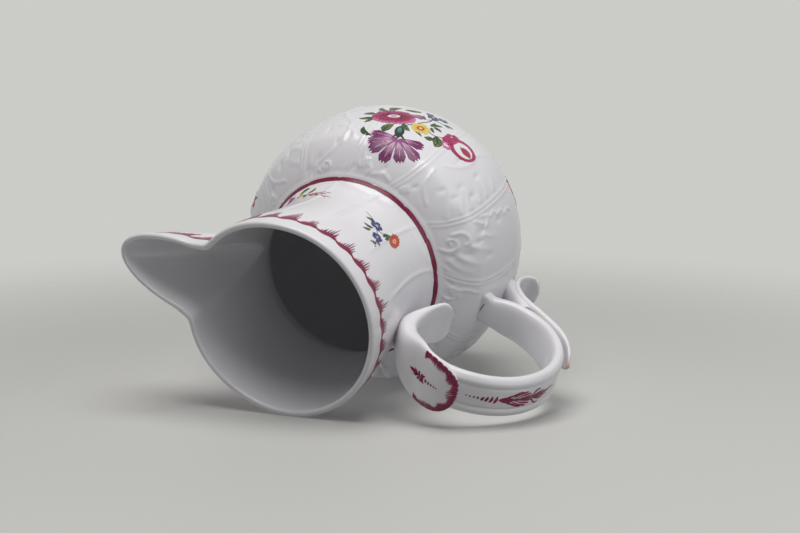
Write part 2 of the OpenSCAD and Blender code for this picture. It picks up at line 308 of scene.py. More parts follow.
fanMould = [
    (smoothRun([(-0.2, 2.4), (0.4, 6.8), (-1.8, 11.2), (-4.8, 12.2), (-6.6, 10.6), (-5.4, 8.4), (-3.6, 9)],
               36), 0.75, 0.55),
    (smoothRun([(-8.8, 11.2), (-9.9, 16), (-7.7, 18.8), (-5, 18.8), (-3.5, 16.8)], 20), 0.85, 0.5),
    (smoothRun([(-16, 29.5), (-14.8, 34), (-11.6, 34.4), (-9.5, 32)], 16), 0.85, 0.42),
    (smoothRun([(-14.5, 25.5), (-11.5, 30.5)], 8), 0.85, 0.4),
    (smoothRun([(-14.6, 36), (-13, 38), (-14.2, 42), (-11.6, 44.5), (-12.4, 49), (-9.4, 51), (-10.4, 56),
                (-8.4, 60)], 40), 0.65, 0.36),
    (smoothRun([(2.5, 11.4), (5.4, 16.6), (7.6, 24.4), (7.9, 28)], 20), 1.4, 0.45, 0.0),
    (smoothRun([(5.5, 6.4), (9, 11.2), (11, 18), (11.4, 20)], 20), 1.3, 0.45, 0.0),
    (smoothRun([(-2.4, 19.5), (0, 25), (2, 33)], 20), 1.4, 0.42, 0.0),
    (smoothRun([(9.2, 3), (12, 7.6), (13.4, 14)], 12), 1.0, 0.4, 0.0),
    (smoothRun([(-6.4, 29), (-4, 34), (-2.5, 41)], 14), 1.4, 0.36, 0.0),
]
plainMould = [
    (spiral(-7.2, 8.2, 60, 1.4, 2.8), 0.7, 0.5),
    (smoothRun([(-4.6, 8.6), (-2, 6.2), (-1.3, 2.6)], 12), 0.75, 0.45),
    (smoothRun([(1, 4.2), (5, 6.5), (9.5, 5)], 14), 0.8, 0.4),
    (smoothRun([(-9.5, 10.8), (-11.5, 15), (-11.5, 21)], 12), 0.8, 0.4),
]
# which mould each of the twelve panels has, from the one after the first rib
panelMoulds = ["scroll", "plain", "shell", "fan", "plain", "scroll", "fan", "plain", "shell", "scroll",
               "fan", "shell"]
mouldLines = {"scroll": scrollMould, "shell": shellMould, "fan": fanMould, "plain": plainMould}
# small pits pressed into the ground: across, down, radius
mouldPits = {
    "scroll": [(-4.8, 10.4, 1.4), (3.2, 18, 1.2), (3.6, 33.6, 1.1), (-9.8, 5.8, 1.0), (-6, 4.8, 0.9),
               (8.2, 22.4, 1.2), (-6, 30, 1.2)],
    "shell": [(-1, 18.6, 1.4), (5.4, 22, 1.2), (9.6, 32.4, 1.3), (-8.4, 9.6, 1.0), (2.6, 29, 1.2),
              (3.4, 44, 1.2), (-8, 41, 1.1)],
    "fan": [(-8.6, 28.2, 1.4), (-4, 24.6, 1.2), (1.2, 17, 1.5), (2.4, 8, 1.0), (4.6, 30, 1.2),
            (-9, 44, 1.2)],
    "plain": [(-10.6, 5.4, 0.9), (3.2, 9.4, 1.0)],
}


def lineDistance(points, line):
    # distance to a line, and the share of the line at the nearest place
    best = np.full(len(points), 1e9)
    share = np.zeros(len(points))
    for number, (a, b) in enumerate(zip(line, line[1:])):
        run = b - a
        t = np.clip((points - a) @ run / (run @ run), 0, 1)
        away = np.linalg.norm(points - a - t[:, None] * run, axis=1)
        nearer = away < best
        best[nearer] = away[nearer]
        share[nearer] = (number + t[nearer]) / (len(line) - 1)
    return best, share


def bellyRelief(turn, s):
    # height of the mould over its ground, from 0 to about the relief depth
    radius = np.interp(s, bellyArc, bellyCurve[:, 0])
    degree = radius * math.pi / 180
    pitch = 360 / ribSet["count"]
    fromFirst = np.mod(ribSet["first"] + ribSway(s) - turn, 360)
    panel = np.floor(fromFirst / pitch).astype(int) % ribSet["count"]
    # millimetres to the right of the panel's middle
    across = (np.mod(fromFirst, pitch) - pitch / 2) * degree
    edge = pitch / 2 * degree - np.abs(across)
    live = fade(1.2, 4.5, s) * (1 - fade(bellyLength - 26, bellyLength - 12, s))
    ridge = np.exp(-((edge - ribSet["gap"]) / ribSet["wide"]) ** 2)
    relief = ribSet["tall"] * ridge * live + 0.16 * fade(0, 9, edge) * live
    for index, kind in enumerate(panelMoulds):
        mine = np.flatnonzero((panel == index) & (s < 76))
        if len(mine) == 0:
            continue
        spots = np.stack([across[mine], s[mine]], 1)
        best = np.zeros(len(mine))
        for line, wide, tall, *end in mouldLines[kind]:
            middle = (line.min(0) + line.max(0)) / 2
            near = np.flatnonzero((np.abs(spots - middle) < np.ptp(line, 0) / 2 + 4).all(1))
            if len(near):
                away, share = lineDistance(spots[near], line)
                height = tall + share * ((end or [tall])[0] - tall)
                best[near] = np.maximum(best[near], height * np.exp(-(away / wide) ** 2))
        for x, y, size in mouldPits[kind]:
            best -= ribSet["pit"] * np.exp(-(((spots - (x, y)) / (1.1 * size, 1.9 * size)) ** 2).sum(1))
        relief[mine] += ribSet["mould"] * best * live[mine] * fade(1.5, 3.2, edge[mine])
    return relief


def bellyPoint(turn, s, lift=0.0):
    turn, s = np.broadcast_arrays(np.asarray(turn, float), np.asarray(s, float))
    radius = np.interp(s, bellyArc, bellyCurve[:, 0])
    height = np.interp(s, bellyArc, bellyCurve[:, 1])
    slopeR = np.interp(s, bellyArc, bellyTangent[:, 0])
    slopeZ = np.interp(s, bellyArc, bellyTangent[:, 1])
    sunk = bodySet["relief"] * fade(0, 3, s) * (1 - fade(bellyLength - 10, bellyLength - 2, s))
    out = bellyRelief(turn.ravel(), s.ravel()).reshape(s.shape) - sunk + lift
    radius, height = radius - slopeZ * out, height + slopeR * out
    angle = np.radians(turn)
    return np.stack([radius * np.cos(angle), radius * np.sin(angle), height], -1)


# Neck radius all round, with the beak of the spout drawn out of it

spoutSet = {
    "tip": spoutTop[0],
    "half": 18.3,
    "drop": 56.0,
    "wall": 2.4,
    "lead": 1.5,
    "full": 1.9,
    "round": 0.5,
    "swell": 0.15,
    "flare": 1.1,
    "bulge": 2.0,
    "cusp": 2.3,
    "softest": 3.2,
}
tableHeights = np.linspace(jointHeight, lipStart, 110)
tableTurns = np.linspace(0, 90, 721)


def beakRadius(height, inner):
    sp = spoutSet
    ground = neckRound(height) - (bodySet["wall"] if inner else 0)
    share = min(1, (height - (lipStart - sp["drop"])) / sp["drop"])
    half = sp["half"] * math.sqrt(max(share, 0)) - (sp["wall"] if inner else 0)
    if half < 0.4:
        return np.full(len(tableTurns), ground)
    keel = (1 + sp["swell"]) * share - sp["swell"] * share**2
    tip = neckRound(height) + (sp["tip"] - bodySet["lipRadius"]) * keel - (1.1 * sp["wall"] if inner else 0)
    start = ground + sp["lead"] * share - 1
    x = np.linspace(tip, 0.8 * ground, 400)
    t = np.clip((x - start) / (tip - start), 0, 1)
    flare = sp["flare"] * share * (1 - fade(ground - 1, ground + 7, x))
    y = half * (1 - t ** sp["full"]) ** sp["round"] + flare
    turns = np.degrees(np.arctan2(y, x))
    beak = np.interp(tableTurns, turns, np.hypot(x, y))
    past = tableTurns > turns[-1]
    beak[past] = half / np.sin(np.radians(tableTurns[past]))
    # rounder corner lower down
    soft = 0.02 + min(sp["softest"], sp["cusp"] + 8 * (1 - share)) * min(1, share / 0.3)
    # the mouth swells beside the beak
    ground = ground + sp["bulge"] * max(share, 0) ** 2 * (1 - fade(35, 85, tableTurns))
    top = np.maximum(beak, ground)
    return top + soft * np.log(np.exp((ground - top) / soft) + np.exp((beak - top) / soft))


spoutTables = {inner: np.stack([beakRadius(h, inner) for h in tableHeights]) for inner in (False, True)}


def neckRadius(turn, height, inner=False):
    table = spoutTables[inner]
    away = np.abs((np.asarray(turn, float) + 180) % 360 - 180)
    rise = tableHeights[1] - tableHeights[0]
    row = np.clip((np.asarray(height, float) - tableHeights[0]) / rise, 0, len(tableHeights) - 1.001)
    column = np.clip(away / (tableTurns[1] - tableTurns[0]), 0, len(tableTurns) - 1.001)
    i, j = row.astype(int), column.astype(int)
    u, v = row - i, column - j
    return ((1 - u) * ((1 - v) * table[i, j] + v * table[i, j + 1])
            + u * ((1 - v) * table[i + 1, j] + v * table[i + 1, j + 1]))


neckRibSet = {"sway": 6, "settle": 12, "endFrom": 146, "endTo": 164, "wide": 1.1, "tall": 0.4}


def neckRelief(turn, height):
    # the ribs run on faintly over the neck
    r = neckRibSet
    sway = r["sway"] * (1 - np.exp(-(height - jointHeight) / r["settle"]))
    pitch = 360 / ribSet["count"]
    degrees = np.mod(turn - ribSet["first"] - sway + pitch / 2, pitch) - pitch / 2
    off = degrees * neckRound(height) * math.pi / 180
    live = fade(jointHeight + 1, jointHeight + 5, height) * (1 - fade(r["endFrom"], r["endTo"], height))
    return r["tall"] * np.exp(-(off / r["wide"]) ** 2) * live


def neckPoint(turn, height, lift=0.0):
    radius = neckRadius(turn, height) + neckRelief(turn, height) + lift
    angle = np.radians(turn)
    height = np.broadcast_to(height, radius.shape)
    return np.stack([radius * np.cos(angle), radius * np.sin(angle), height], -1)


# Belly shell

bellySet = {"steps": 740, "ringGap": 0.95, "plainFrom": 78.0, "plainGap": 2.2, "innerRings": 14}


def makeBelly():
    wall = bodySet["wall"]
    plain, gap, plainGap = (bellySet[key] for key in ("plainFrom", "ringGap", "plainGap"))
    downs = np.concatenate([np.linspace(bellyLength, plain, int((bellyLength - plain) / plainGap)),
                            np.linspace(plain, 0, int(plain / gap))[1:]])
    outer = np.stack([np.interp(downs, bellyArc, bellyCurve[:, k]) for k in (0, 1)], 1)
    base = [(r, bodySet["baseHeight"]) for r in (0, 12, 24, 34, outer[0][0] - bodySet["baseRound"])]
    inner = bellyCurve + wall * np.stack([bellyTangent[:, 1], -bellyTangent[:, 0]], 1)
    inner = inner[(inner[:, 1] > bodySet["baseHeight"] + wall) & (inner[:, 1] < jointHeight)]
    inner = evenRun(np.concatenate([[(jointRadius - wall + bodySet["undercut"], jointHeight)], inner]),
                    bellySet["innerRings"])
    floor = [(r, bodySet["baseHeight"] + wall) for r in (inner[-1][0] - 4, 24, 12, 0)]
    run = base + [tuple(p) for p in outer] + [tuple(p) for p in inner] + floor
    piece = spinRun("belly_shell", run, bellySet["steps"])
    points = meshPoints(piece)
    radius = np.hypot(points[:, 0], points[:, 1])
    nominal = np.interp(points[:, 2], bellyCurve[::-1, 1], bellyCurve[::-1, 0])
    outside = (np.abs(radius - nominal) < 0.4) & (points[:, 2] > footJoin - 0.01)
    turn = np.degrees(np.arctan2(points[:, 1], points[:, 0]))
    s = np.interp(points[:, 2], bellyCurve[::-1, 1], bellyArc[::-1])
    points[outside] = bellyPoint(turn[outside], s[outside])
    setPoints(piece, points)
    smoothShade(piece)
    onBody(piece, "porcelain", "belly")
    return piece


# Neck and spout in one wall, with the round lip of the mouth

neckSet = {"steps": 450, "outerRings": 78, "lipRings": 9, "innerRings": 26, "crowd": 40.0, "power": 1.45}


def makeNeck():
    b = bodySet
    outer = evenRun(neckCurve, neckSet["outerRings"])
    thick = lambda z: (b["wall"] + (b["lipThick"] - b["wall"]) * fade(lipStart - 8, lipStart, z)
                       - b["undercut"] * (1 - fade(b["throat"] - 2, b["throat"], z)))
    around = np.linspace(0, math.pi, neckSet["lipRings"] + 2)[1:-1]
    mid = b["lipRadius"] - b["lipThick"] / 2
    lip = np.stack([mid + b["lipThick"] / 2 * np.cos(around),
                    lipStart + b["lipThick"] / 2 * np.sin(around)], 1)
    step = b["throat"] - np.array([0, 0.5, 1, 1.5, 2])
    heights = np.concatenate([np.linspace(lipStart, b["throat"] + 0.8, neckSet["innerRings"]), step,
                              np.linspace(b["throat"] - 3, jointHeight, 6)])
    inner = np.stack([neckRound(heights) - thick(heights), heights], 1)
    run = [tuple(p) for p in np.concatenate([outer, lip, inner, outer[:1]])]
    piece = spinRun("neck_and_spout", run, neckSet["steps"])
    points = meshPoints(piece)
    turn = np.degrees(np.arctan2(points[:, 1], points[:, 0]))
    crowd, power = neckSet["crowd"], neckSet["power"]
    near = np.abs(turn) < crowd  # closer steps round the beak
    turn[near] = np.sign(turn[near]) * crowd * (np.abs(turn[near]) / crowd) ** power
    height = np.minimum(points[:, 2], lipStart)
    outerRound, innerRound = neckRound(height), neckRound(height) - thick(height)
    share = np.clip((np.hypot(points[:, 0], points[:, 1]) - innerRound) / (outerRound - innerRound), 0, 1)
    lipExtra = thick(height) - b["wall"]
    radius = ((1 - share) * (neckRadius(turn, height, True) - lipExtra)
              + share * (neckRadius(turn, height) + neckRelief(turn, height)))
    angle = np.radians(turn)
    setPoints(piece, np.stack([radius * np.cos(angle), radius * np.sin(angle), points[:, 2]], 1))
    smoothShade(piece)
    onBody(piece, "porcelain", "neck", "spout")
    return piece


# Foot ring with eased edges

footSet = {"radius": footTop[1], "face": 5.0, "ease": 0.9}


def makeFoot():
    f = footSet
    top = footTop[2] - 0.3
    inside = f["radius"] - f["face"]
    lean = f["radius"] - 1.5
    run = [(inside, f["ease"]), (inside + 0.3, 0.25), (inside + f["ease"], 0), (f["radius"] - f["ease"], 0),
           (f["radius"] - 0.25, 0.25), (f["radius"], f["ease"]), (lean + 0.2, top - 1.2), (lean + 0.4, top),
           (lean - 1.5, top + 0.2), (inside + 1, top + 0.2), (inside, top - 1), (inside, f["ease"])]
    piece = spinRun("foot_ring_turned", run, 160)
    smoothShade(piece, 40)
    onBody(piece, "foot_porcelain", "foot_ring")
    return piece


# Handle bands, drawn in the handle's plane as distance from the axis and height

strapSet = {
    "bow": (79.5, 129.25),
    "out": -strapLow[0] - 3.25 - 79.5,
    "rise": 41.25,
    "width": strapTop[1] - strapLow[1],
    "thick": 6.5,
    "groove": 5.3,
    "slip": 67.0,
    "slipWide": 2.2,
    "slipOut": 2.2,
    "slipUp": 0.9,
    "paintStart": 72.0,
    "paintDegree": 0.74,
    "paintHalf": 10.2,
}


def bowPoint(degrees):
    a = np.radians(degrees)
    cu, cz = strapSet["bow"]
    return np.stack([cu + strapSet["out"] * np.cos(a), cz + strapSet["rise"] * np.sin(a)], -1)


def bandRings(path, width, thick, side, around=64, squareness=3.2, face=None):
    # rings of a band along the path; side is +1 where the outer face lies to the right of the run
    path = np.asarray(path, float)
    along = np.gradient(path, axis=0)
    along /= np.linalg.norm(along, axis=1)[:, None]
    normal = side * np.stack([along[:, 1], -along[:, 0]], 1)
    share = np.linspace(0, 1, len(path))
    phi = np.linspace(0, 2 * math.pi, 721)
    cs, sn = np.cos(phi), np.sin(phi)
    rings = []
    for k in range(len(path)):
        halfW, halfT = width(share[k]) / 2, thick(share[k]) / 2
        y = halfW * np.sign(cs) * np.abs(cs) ** (2 / squareness)
        d = halfT * np.sign(sn) * np.abs(sn) ** (2 / squareness)
        loop = evenRun(np.stack([y, d], 1), around + 1)[:-1]
        if face is not None:
            loop[:, 1] += face(loop[:, 0], loop[:, 1] / halfT, halfW, share[k])
        u = path[k, 0] + normal[k, 0] * loop[:, 1]
        z = path[k, 1] + normal[k, 1] * loop[:, 1]
        rings.append(np.stack([-u, loop[:, 0], z], 1))
    return rings


strapRoot = [(60, strapSet["bow"][1] - strapSet["rise"])]
strapEnd = [(63.5, 166.6)]
strapPath = evenRun(np.concatenate([strapRoot, bowPoint(np.linspace(-90, 90, 121)), strapEnd]), 190)


def strapFace(y, d, halfW, share):
    # two grooves mark off the beads along the edges of the outer face
    line = -0.75 * np.exp(-((np.abs(y) - strapSet["groove"]) / 0.6) ** 2) * (d > 0.2)
    swell = 0.6 * np.exp(-((np.abs(y) - 7.6) / 1.6) ** 2) * (d > 0.2)
    hollow = -0.35 * np.exp(-(y / 6.5) ** 2) * (d < -0.2)
    return line + swell + hollow


def makeStrap():
    s = strapSet
    width = lambda t: s["width"] - 0.6 - 2 * (1 - fade(0.08, 0.35, t)) - 4.5 * (1 - fade(0.03, 0.14, t))
    thick = lambda t: s["thick"] - 0.5 + 1.5 * (1 - fade(0.02, 0.1, t))
    piece = sweepRings("strap_band", bandRings(strapPath, width, thick, 1, around=120, face=strapFace))
    points = meshPoints(piece)
    lump = np.exp(-((-points[:, 0] - s["slip"]) / s["slipWide"]) ** 2) * fade(2.5, 6.5, -points[:, 1])
    points[:, 1] -= s["slipOut"] * lump  # lump of slip at the root
    points[:, 2] += s["slipUp"] * lump
    setPoints(piece, points)
    smoothShade(piece)
    onBody(piece, "porcelain", "handle_strap")
    return piece


upperSet = {
    "path": [(61, 115.5), (56.2, 121), (51.6, 129.5), (48.8, 138), (48.6, 144), (51.2, 150.2), (55.4, 157),
             (60.5, 163.2), (65.8, 168.2), (72, 172.6), (80, 175.4), (85.5, 175.4), (89, 174.4)],
    "tongueWidth": 24.0,
    "bendWidth": 17.5,
    "leafWidth": 27.0,
    "tongueThick": 4.2,
    "bendThick": 9.6,
    "leafThick": 4.4,
}
upperPath = smoothRun(upperSet["path"], 150)


def upperWidth(t):
    s = upperSet
    wide = s["bendWidth"] + (s["tongueWidth"] - s["bendWidth"]) * (1 - fade(0.0, 0.38, t))
    wide += (s["leafWidth"] - s["bendWidth"]) * fade(0.42, 0.72, t)
    start = math.sqrt(max(0.0, 1 - (1 - min(t / 0.11, 1)) ** 2.2))
    end = max(0.0, 1 - max(0, (t - 0.8) / 0.2) ** 2.8) ** 0.45
    return max(wide * min(start, 1) * end, 1.5)


def upperThick(t):
    s = upperSet
    thick = s["tongueThick"] + (s["bendThick"] - s["tongueThick"]) * fade(0.1, 0.36, t)
    thick += (s["leafThick"] - s["bendThick"]) * fade(0.55, 0.8, t)
    return thick * (0.35 + 0.65 * fade(0, 0.05, t)) * (0.3 + 0.7 * (1 - fade(0.95, 1, t)))


def upperFace(y, d, halfW, share):
    # the tongue is dished on its inner face
    return 0.9 * (1 - (y / halfW) ** 2) * (1 - fade(0.22, 0.42, share)) * (d < -0.2)


def makeUpper():
    piece = sweepRings("upper_scroll", bandRings(upperPath, upperWidth, upperThick, -1, around=88,
                                                 squareness=3.0, face=upperFace))
    smoothShade(piece)
    onBody(piece, "porcelain", "upper_bracket", "upper_tongue")
    return piece


lowerSet = {
    "path": [(82.6, 51.2), (78.2, 50.9), (74.6, 53.4), (72.8, 59), (74.6, 66.4), (80, 73.4), (86.6, 78.2),
             (93, 81.6), (101, 86.6), (108.3, 91.9), (113.7, 97.2), (117.4, 102.2), (119.9, 107.6)],
    "width": 17.0,
    "thick": 4.6,
    "strut": [(61, 63), (68, 63.5), (74, 67), (80, 74.5), (86, 82.5)],
}
lowerPath = smoothRun(lowerSet["path"], 150)


def lowerWidth(t):
    start = max(0.0, 1 - (1 - min(t / 0.07, 1)) ** 2.6) ** 0.5
    end = max(0.0, 1 - max(0, (t - 0.7) / 0.3) ** 2.3) ** 0.62
    return max(lowerSet["width"] * start * end, 1.2)


def lowerThick(t):
    return lowerSet["thick"] * (0.6 + 0.4 * fade(0, 0.3, t)) * (0.45 + 0.55 * (1 - fade(0.7, 1, t)))


def lowerFace(y, d, halfW, share):
    # dished inside the free tongue and inside the leaf's tip
    ends = 1 - fade(0.1, 0.24, share) + fade(0.72, 0.9, share) * 0.6
    side = (d > 0.2) * (share < 0.5) - 1.0 * (d < -0.2) * (share > 0.5)
    return -0.8 * ends * side * (1 - (y / halfW) ** 2)


def makeLower():
    scroll = sweepRings("lower_scroll", bandRings(lowerPath, lowerWidth, lowerThick, 1, around=80,
                                                  squareness=3.0, face=lowerFace))
    smoothShade(scroll)
    points = meshPoints(scroll)
    tip = lowerPath[-1]
    away = np.hypot(-points[:, 0] - tip[0], points[:, 2] - tip[1])
    warm = scroll.data.attributes.new("warm", "FLOAT", "POINT")
    warm.data.foreach_set("value", 0.75 * (1 - fade(0.5, 5.5, away)))
    onBody(scroll, "porcelain", "lower_volute", "lower_leaf")
    strutPath = smoothRun(lowerSet["strut"], 50)
    width = lambda t: 15.0 + 4 * (1 - fade(0, 0.4, t))
    thick = lambda t: 7.0 + 3 * (1 - fade(0.2, 0.7, t))
    strut = sweepRings("lower_strut", bandRings(strutPath, width, thick, 1, around=64, squareness=2.8))
    smoothShade(strut)
    onBody(strut, "porcelain", "lower_bracket")
    return scroll, strut


# Finishes

def newMaterial(name):
    material = bpy.data.materials.new(name)
    material.use_nodes = True
    return material, material.node_tree


def addNode(tree, kind, inputs, **settings):
    # one node; each input gets a value, or a link where it is given a socket
    node = tree.nodes.new("ShaderNode" + kind)
    for key, value in settings.items():
        setattr(node, key, value)
    for key, value in inputs.items():
        if isinstance(value, bpy.types.NodeSocket):
            tree.links.new(value, node.inputs[key])
        else:
            node.inputs[key].default_value = value
    return node


def mathNode(tree, operation, *feeds):
    return addNode(tree, "Math", dict(enumerate(feeds)), operation=operation).outputs[0]


def mixColours(tree, factor, first, second):
    inputs = {"Factor": factor, "A": first, "B": second}
    return addNode(tree, "Mix", inputs, data_type="RGBA").outputs["Result"]


glazeSet = {
    "dark": (0.80, 0.788, 0.82, 1),
    "light": (0.845, 0.833, 0.862, 1),
    "drift": 22,
    "smooth": 0.13,
    "dull": 0.22,
    "pinScale": 62,
    "pinSize": 0.02,
    "pinRare": 0.86,
    "pinColour": (0.23, 0.2, 0.17, 1),
    "rubbed": (0.66, 0.44, 0.35, 1),
    "bare": (0.66, 0.61, 0.53, 1),
    "bareFrom": 0.6,
    "bareTo": 1.3,
    "bareRough": 0.75,
    "ripple": 130,
    "rippleDeep": 0.4,
    "rippleStrength": 0.12,
    "ior": 1.5,
}


def porcelainFinish(name, bareFoot=False):
    g = glazeSet
    material, tree = newMaterial(name)
    shader = tree.nodes["Principled BSDF"]
    place = addNode(tree, "TexCoord", {}).outputs["Object"]
    # faint drift in the white of the glaze
    drift = addNode(tree, "TexNoise", {"Vector": place, "Scale": g["drift"], "Detail": 3}).outputs["Fac"]
    ramp = addNode(tree, "ValToRGB", {"Fac": drift})
    for element, position, tone in zip(ramp.color_ramp.elements, (0.3, 0.7), ("dark", "light")):
        element.position = position
        element.color = g[tone]
    # rare pin marks from the firing
    cells = addNode(tree, "TexVoronoi", {"Vector": place, "Scale": g["pinScale"]})
    small = mathNode(tree, "LESS_THAN", cells.outputs["Distance"], g["pinSize"])
    split = addNode(tree, "SeparateColor", {"Color": cells.outputs["Color"]})
    rare = mathNode(tree, "GREATER_THAN", split.outputs["Red"], g["pinRare"])
    mark = mathNode(tree, "MULTIPLY", small, rare)
    colour = mixColours(tree, mark, ramp.outputs["Color"], g["pinColour"])
    warmth = addNode(tree, "Attribute", {}, attribute_name="warm")  # rubbed, brownish tip of the lower leaf
    colour = mixColours(tree, warmth.outputs["Fac"], colour, g["rubbed"])
    # the glaze is a little duller in patches
    gloss = addNode(tree, "MapRange", {"Value": drift, "To Min": g["smooth"], "To Max": g["dull"]})
    rough = gloss.outputs["Result"]
    if bareFoot:
        height = addNode(tree, "SeparateXYZ", {"Vector": place}).outputs["Z"]
        limits = {"Value": height, "From Min": g["bareFrom"] * mm, "From Max": g["bareTo"] * mm}
        edge = addNode(tree, "MapRange", limits).outputs["Result"]  # ground bare on the standing face
        colour = mixColours(tree, edge, g["bare"], colour)
        rough = addNode(tree, "Mix", {"Factor": edge, "A": g["bareRough"], "B": rough}).outputs["Result"]
    # slight unevenness of hand-dipped glaze
    ripple = addNode(tree, "TexNoise", {"Vector": place, "Scale": g["ripple"], "Detail": 2})
    bump = addNode(tree, "Bump", {"Height": ripple.outputs["Fac"], "Strength": g["rippleStrength"],
                                  "Distance": g["rippleDeep"] * mm})
    tree.links.new(colour, shader.inputs["Base Color"])
    tree.links.new(rough, shader.inputs["Roughness"])
    tree.links.new(bump.outputs["Normal"], shader.inputs["Normal"])
    shader.inputs["IOR"].default_value = g["ior"]
    return material


enamelSet = {
    "lift": 0.1,
    "layer": 0.014,
    "sink": 0.2,
    "streak": 900,
    "thinFrom": 0.5,
    "thinTo": 0.8,
    "thin": 0.05,
    "under": (0.82, 0.78, 0.8, 1),
    "rough": 0.24,
    "specular": 0.35,
}


def enamelFinish():
    e = enamelSet
    material, tree = newMaterial("painted_enamel")
    shader = tree.nodes["Principled BSDF"]
    brush = addNode(tree, "Attribute", {}, attribute_name="paint")
    place = addNode(tree, "TexCoord", {}).outputs["Object"]
    # thin and thick places of the brushed colour
    streak = addNode(tree, "TexNoise", {"Vector": place, "Scale": e["streak"], "Detail": 2}).outputs["Fac"]
    limits = {"Value": streak, "From Min": e["thinFrom"], "From Max": e["thinTo"], "To Max": e["thin"]}
    thin = addNode(tree, "MapRange", limits)
    colour = mixColours(tree, thin.outputs["Result"], brush.outputs["Color"], e["under"])
    tree.links.new(colour, shader.inputs["Base Color"])
    shader.inputs["Roughness"].default_value = e["rough"]
    shader.inputs["Specular IOR Level"].default_value = e["specular"]
    return material


# Painted enamel: brush strokes laid on the glaze, each a copy of one thin closed dab

rng = np.random.default_rng(7)
tint = {
    "puce": (0.29, 0.003, 0.065),
    "puceDark": (0.17, 0.002, 0.034),
    "pucePale": (0.48, 0.07, 0.20),
    "rose": (0.46, 0.035, 0.16),
    "roseDark": (0.31, 0.01, 0.08),
    "rosePale": (0.66, 0.24, 0.40),
    "aster": (0.36, 0.016, 0.115),
    "asterDark": (0.20, 0.005, 0.05),
    "mauve": (0.30, 0.055, 0.22),
    "mauveDark": (0.115, 0.012, 0.075),
    "mauvePale": (0.52, 0.28, 0.44),
    "blue": (0.02, 0.035, 0.22),
    "blueDark": (0.008, 0.013, 0.08),
    "bluePale": (0.09, 0.14, 0.42),
    "orange": (0.55, 0.09, 0.035),
    "orangePale": (0.84, 0.48, 0.32),
    "red": (0.46, 0.03, 0.03),
    "yellow": (0.80, 0.55, 0.06),
    "yellowPale": (0.84, 0.72, 0.24),
    "ochre": (0.45, 0.20, 0.03),
    "green": (0.04, 0.095, 0.026),
    "greenPale": (0.22, 0.31, 0.07),
    "greenDark": (0.009, 0.024, 0.012),
    "teal": (0.022, 0.085, 0.07),
    "tealPale": (0.13, 0.33, 0.27),
    "rootLine": (0.05, 0.042, 0.035),
    "white": (0.83, 0.83, 0.84),
}
dabShapes = {
    "line": lambda u: np.sqrt(np.clip(1 - (2 * u - 1) ** 8, 0, 1)),
    "taper": lambda u: (1 - u) ** 0.75 * np.minimum(1, u / 0.12) ** 0.5,
    "petal": lambda u: (0.1 + 0.9 * u**0.85) * (1 - 0.35 * np.clip((u - 0.88) / 0.12, 0, 1) ** 2),
    "leaf": lambda u: np.sin(math.pi * u**0.85) ** 0.8,
    "drop": lambda u: u**0.75 * np.sqrt(np.clip(1 - u**6, 0, 1)),
    "dot": lambda u: np.sqrt(np.clip(1 - (2 * u - 1) ** 2, 0, 1)),
}


def makeBrush(along, across):
    deselect()
    bpy.ops.mesh.primitive_grid_add(x_subdivisions=along, y_subdivisions=across, size=2)
    brush = bpy.context.object
    applyModifier(brush, "SOLIDIFY", thickness=1.0, offset=-1.0)
    brush.data.color_attributes.new("paint", "FLOAT_COLOR", "POINT")
    return brush


def dab(path, half, shape, start, end, layer=0, brush="dab", edge=None, jag=None):
    return dict(path=path, half=half, shape=shape, start=start, end=end, layer=layer, brush=brush,
                edge=edge, jag=jag)


def laidDab(template, surface, stroke):
    # one copy of the brush, bent along its path and pressed on to the surface
    mesh = template.data.copy()
    flat = np.empty(len(mesh.vertices) * 3)
    mesh.vertices.foreach_get("co", flat)
    x, y, z = flat.reshape(-1, 3).T
    u = 0.5 - 0.5 * np.cos(math.pi * np.clip((x + 1) / 2, 0, 1))
    line = smoothRun(stroke["path"], 33)
    slope = np.gradient(line, axis=0)
    slope /= np.linalg.norm(slope, axis=1)[:, None] + 1e-9
    share = np.linspace(0, 1, 33)
    place = np.stack([np.interp(u, share, line[:, k]) for k in (0, 1)], 1)
    ahead = np.stack([np.interp(u, share, slope[:, k]) for k in (0, 1)], 1)
    wide = stroke["half"] * np.maximum(dabShapes[stroke["shape"]](u), 0.02)
    place += np.stack([-ahead[:, 1], ahead[:, 0]], 1) * (y * wide)[:, None]
    if stroke["jag"]:
        teeth, depth = stroke["jag"]
        notch = depth * (np.abs(np.mod(y * teeth / 2, 1) - 0.5) * 2 - 0.5) - depth * 0.3 * y * y
        place += ahead * (notch * u**3)[:, None]
    lift = enamelSet["lift"] + enamelSet["layer"] * stroke["layer"] + z * enamelSet["sink"]
    points = surface(place[:, 0], place[:, 1], lift)
    mesh.vertices.foreach_set("co", (points * mm).ravel())
    colour = np.ones((len(u), 4))
    mix = u[:, None]
    colour[:, :3] = (1 - mix) * np.array(tint[stroke["start"]]) + mix * np.array(tint[stroke["end"]])
    if stroke["edge"]:
        name, amount = stroke["edge"]
        side = amount * np.maximum(np.abs(y) ** 3, u**10)[:, None]
        colour[:, :3] = (1 - side) * colour[:, :3] + side * np.array(tint[name])
    mesh.color_attributes["paint"].data.foreach_set("color", colour.ravel())
    return mesh


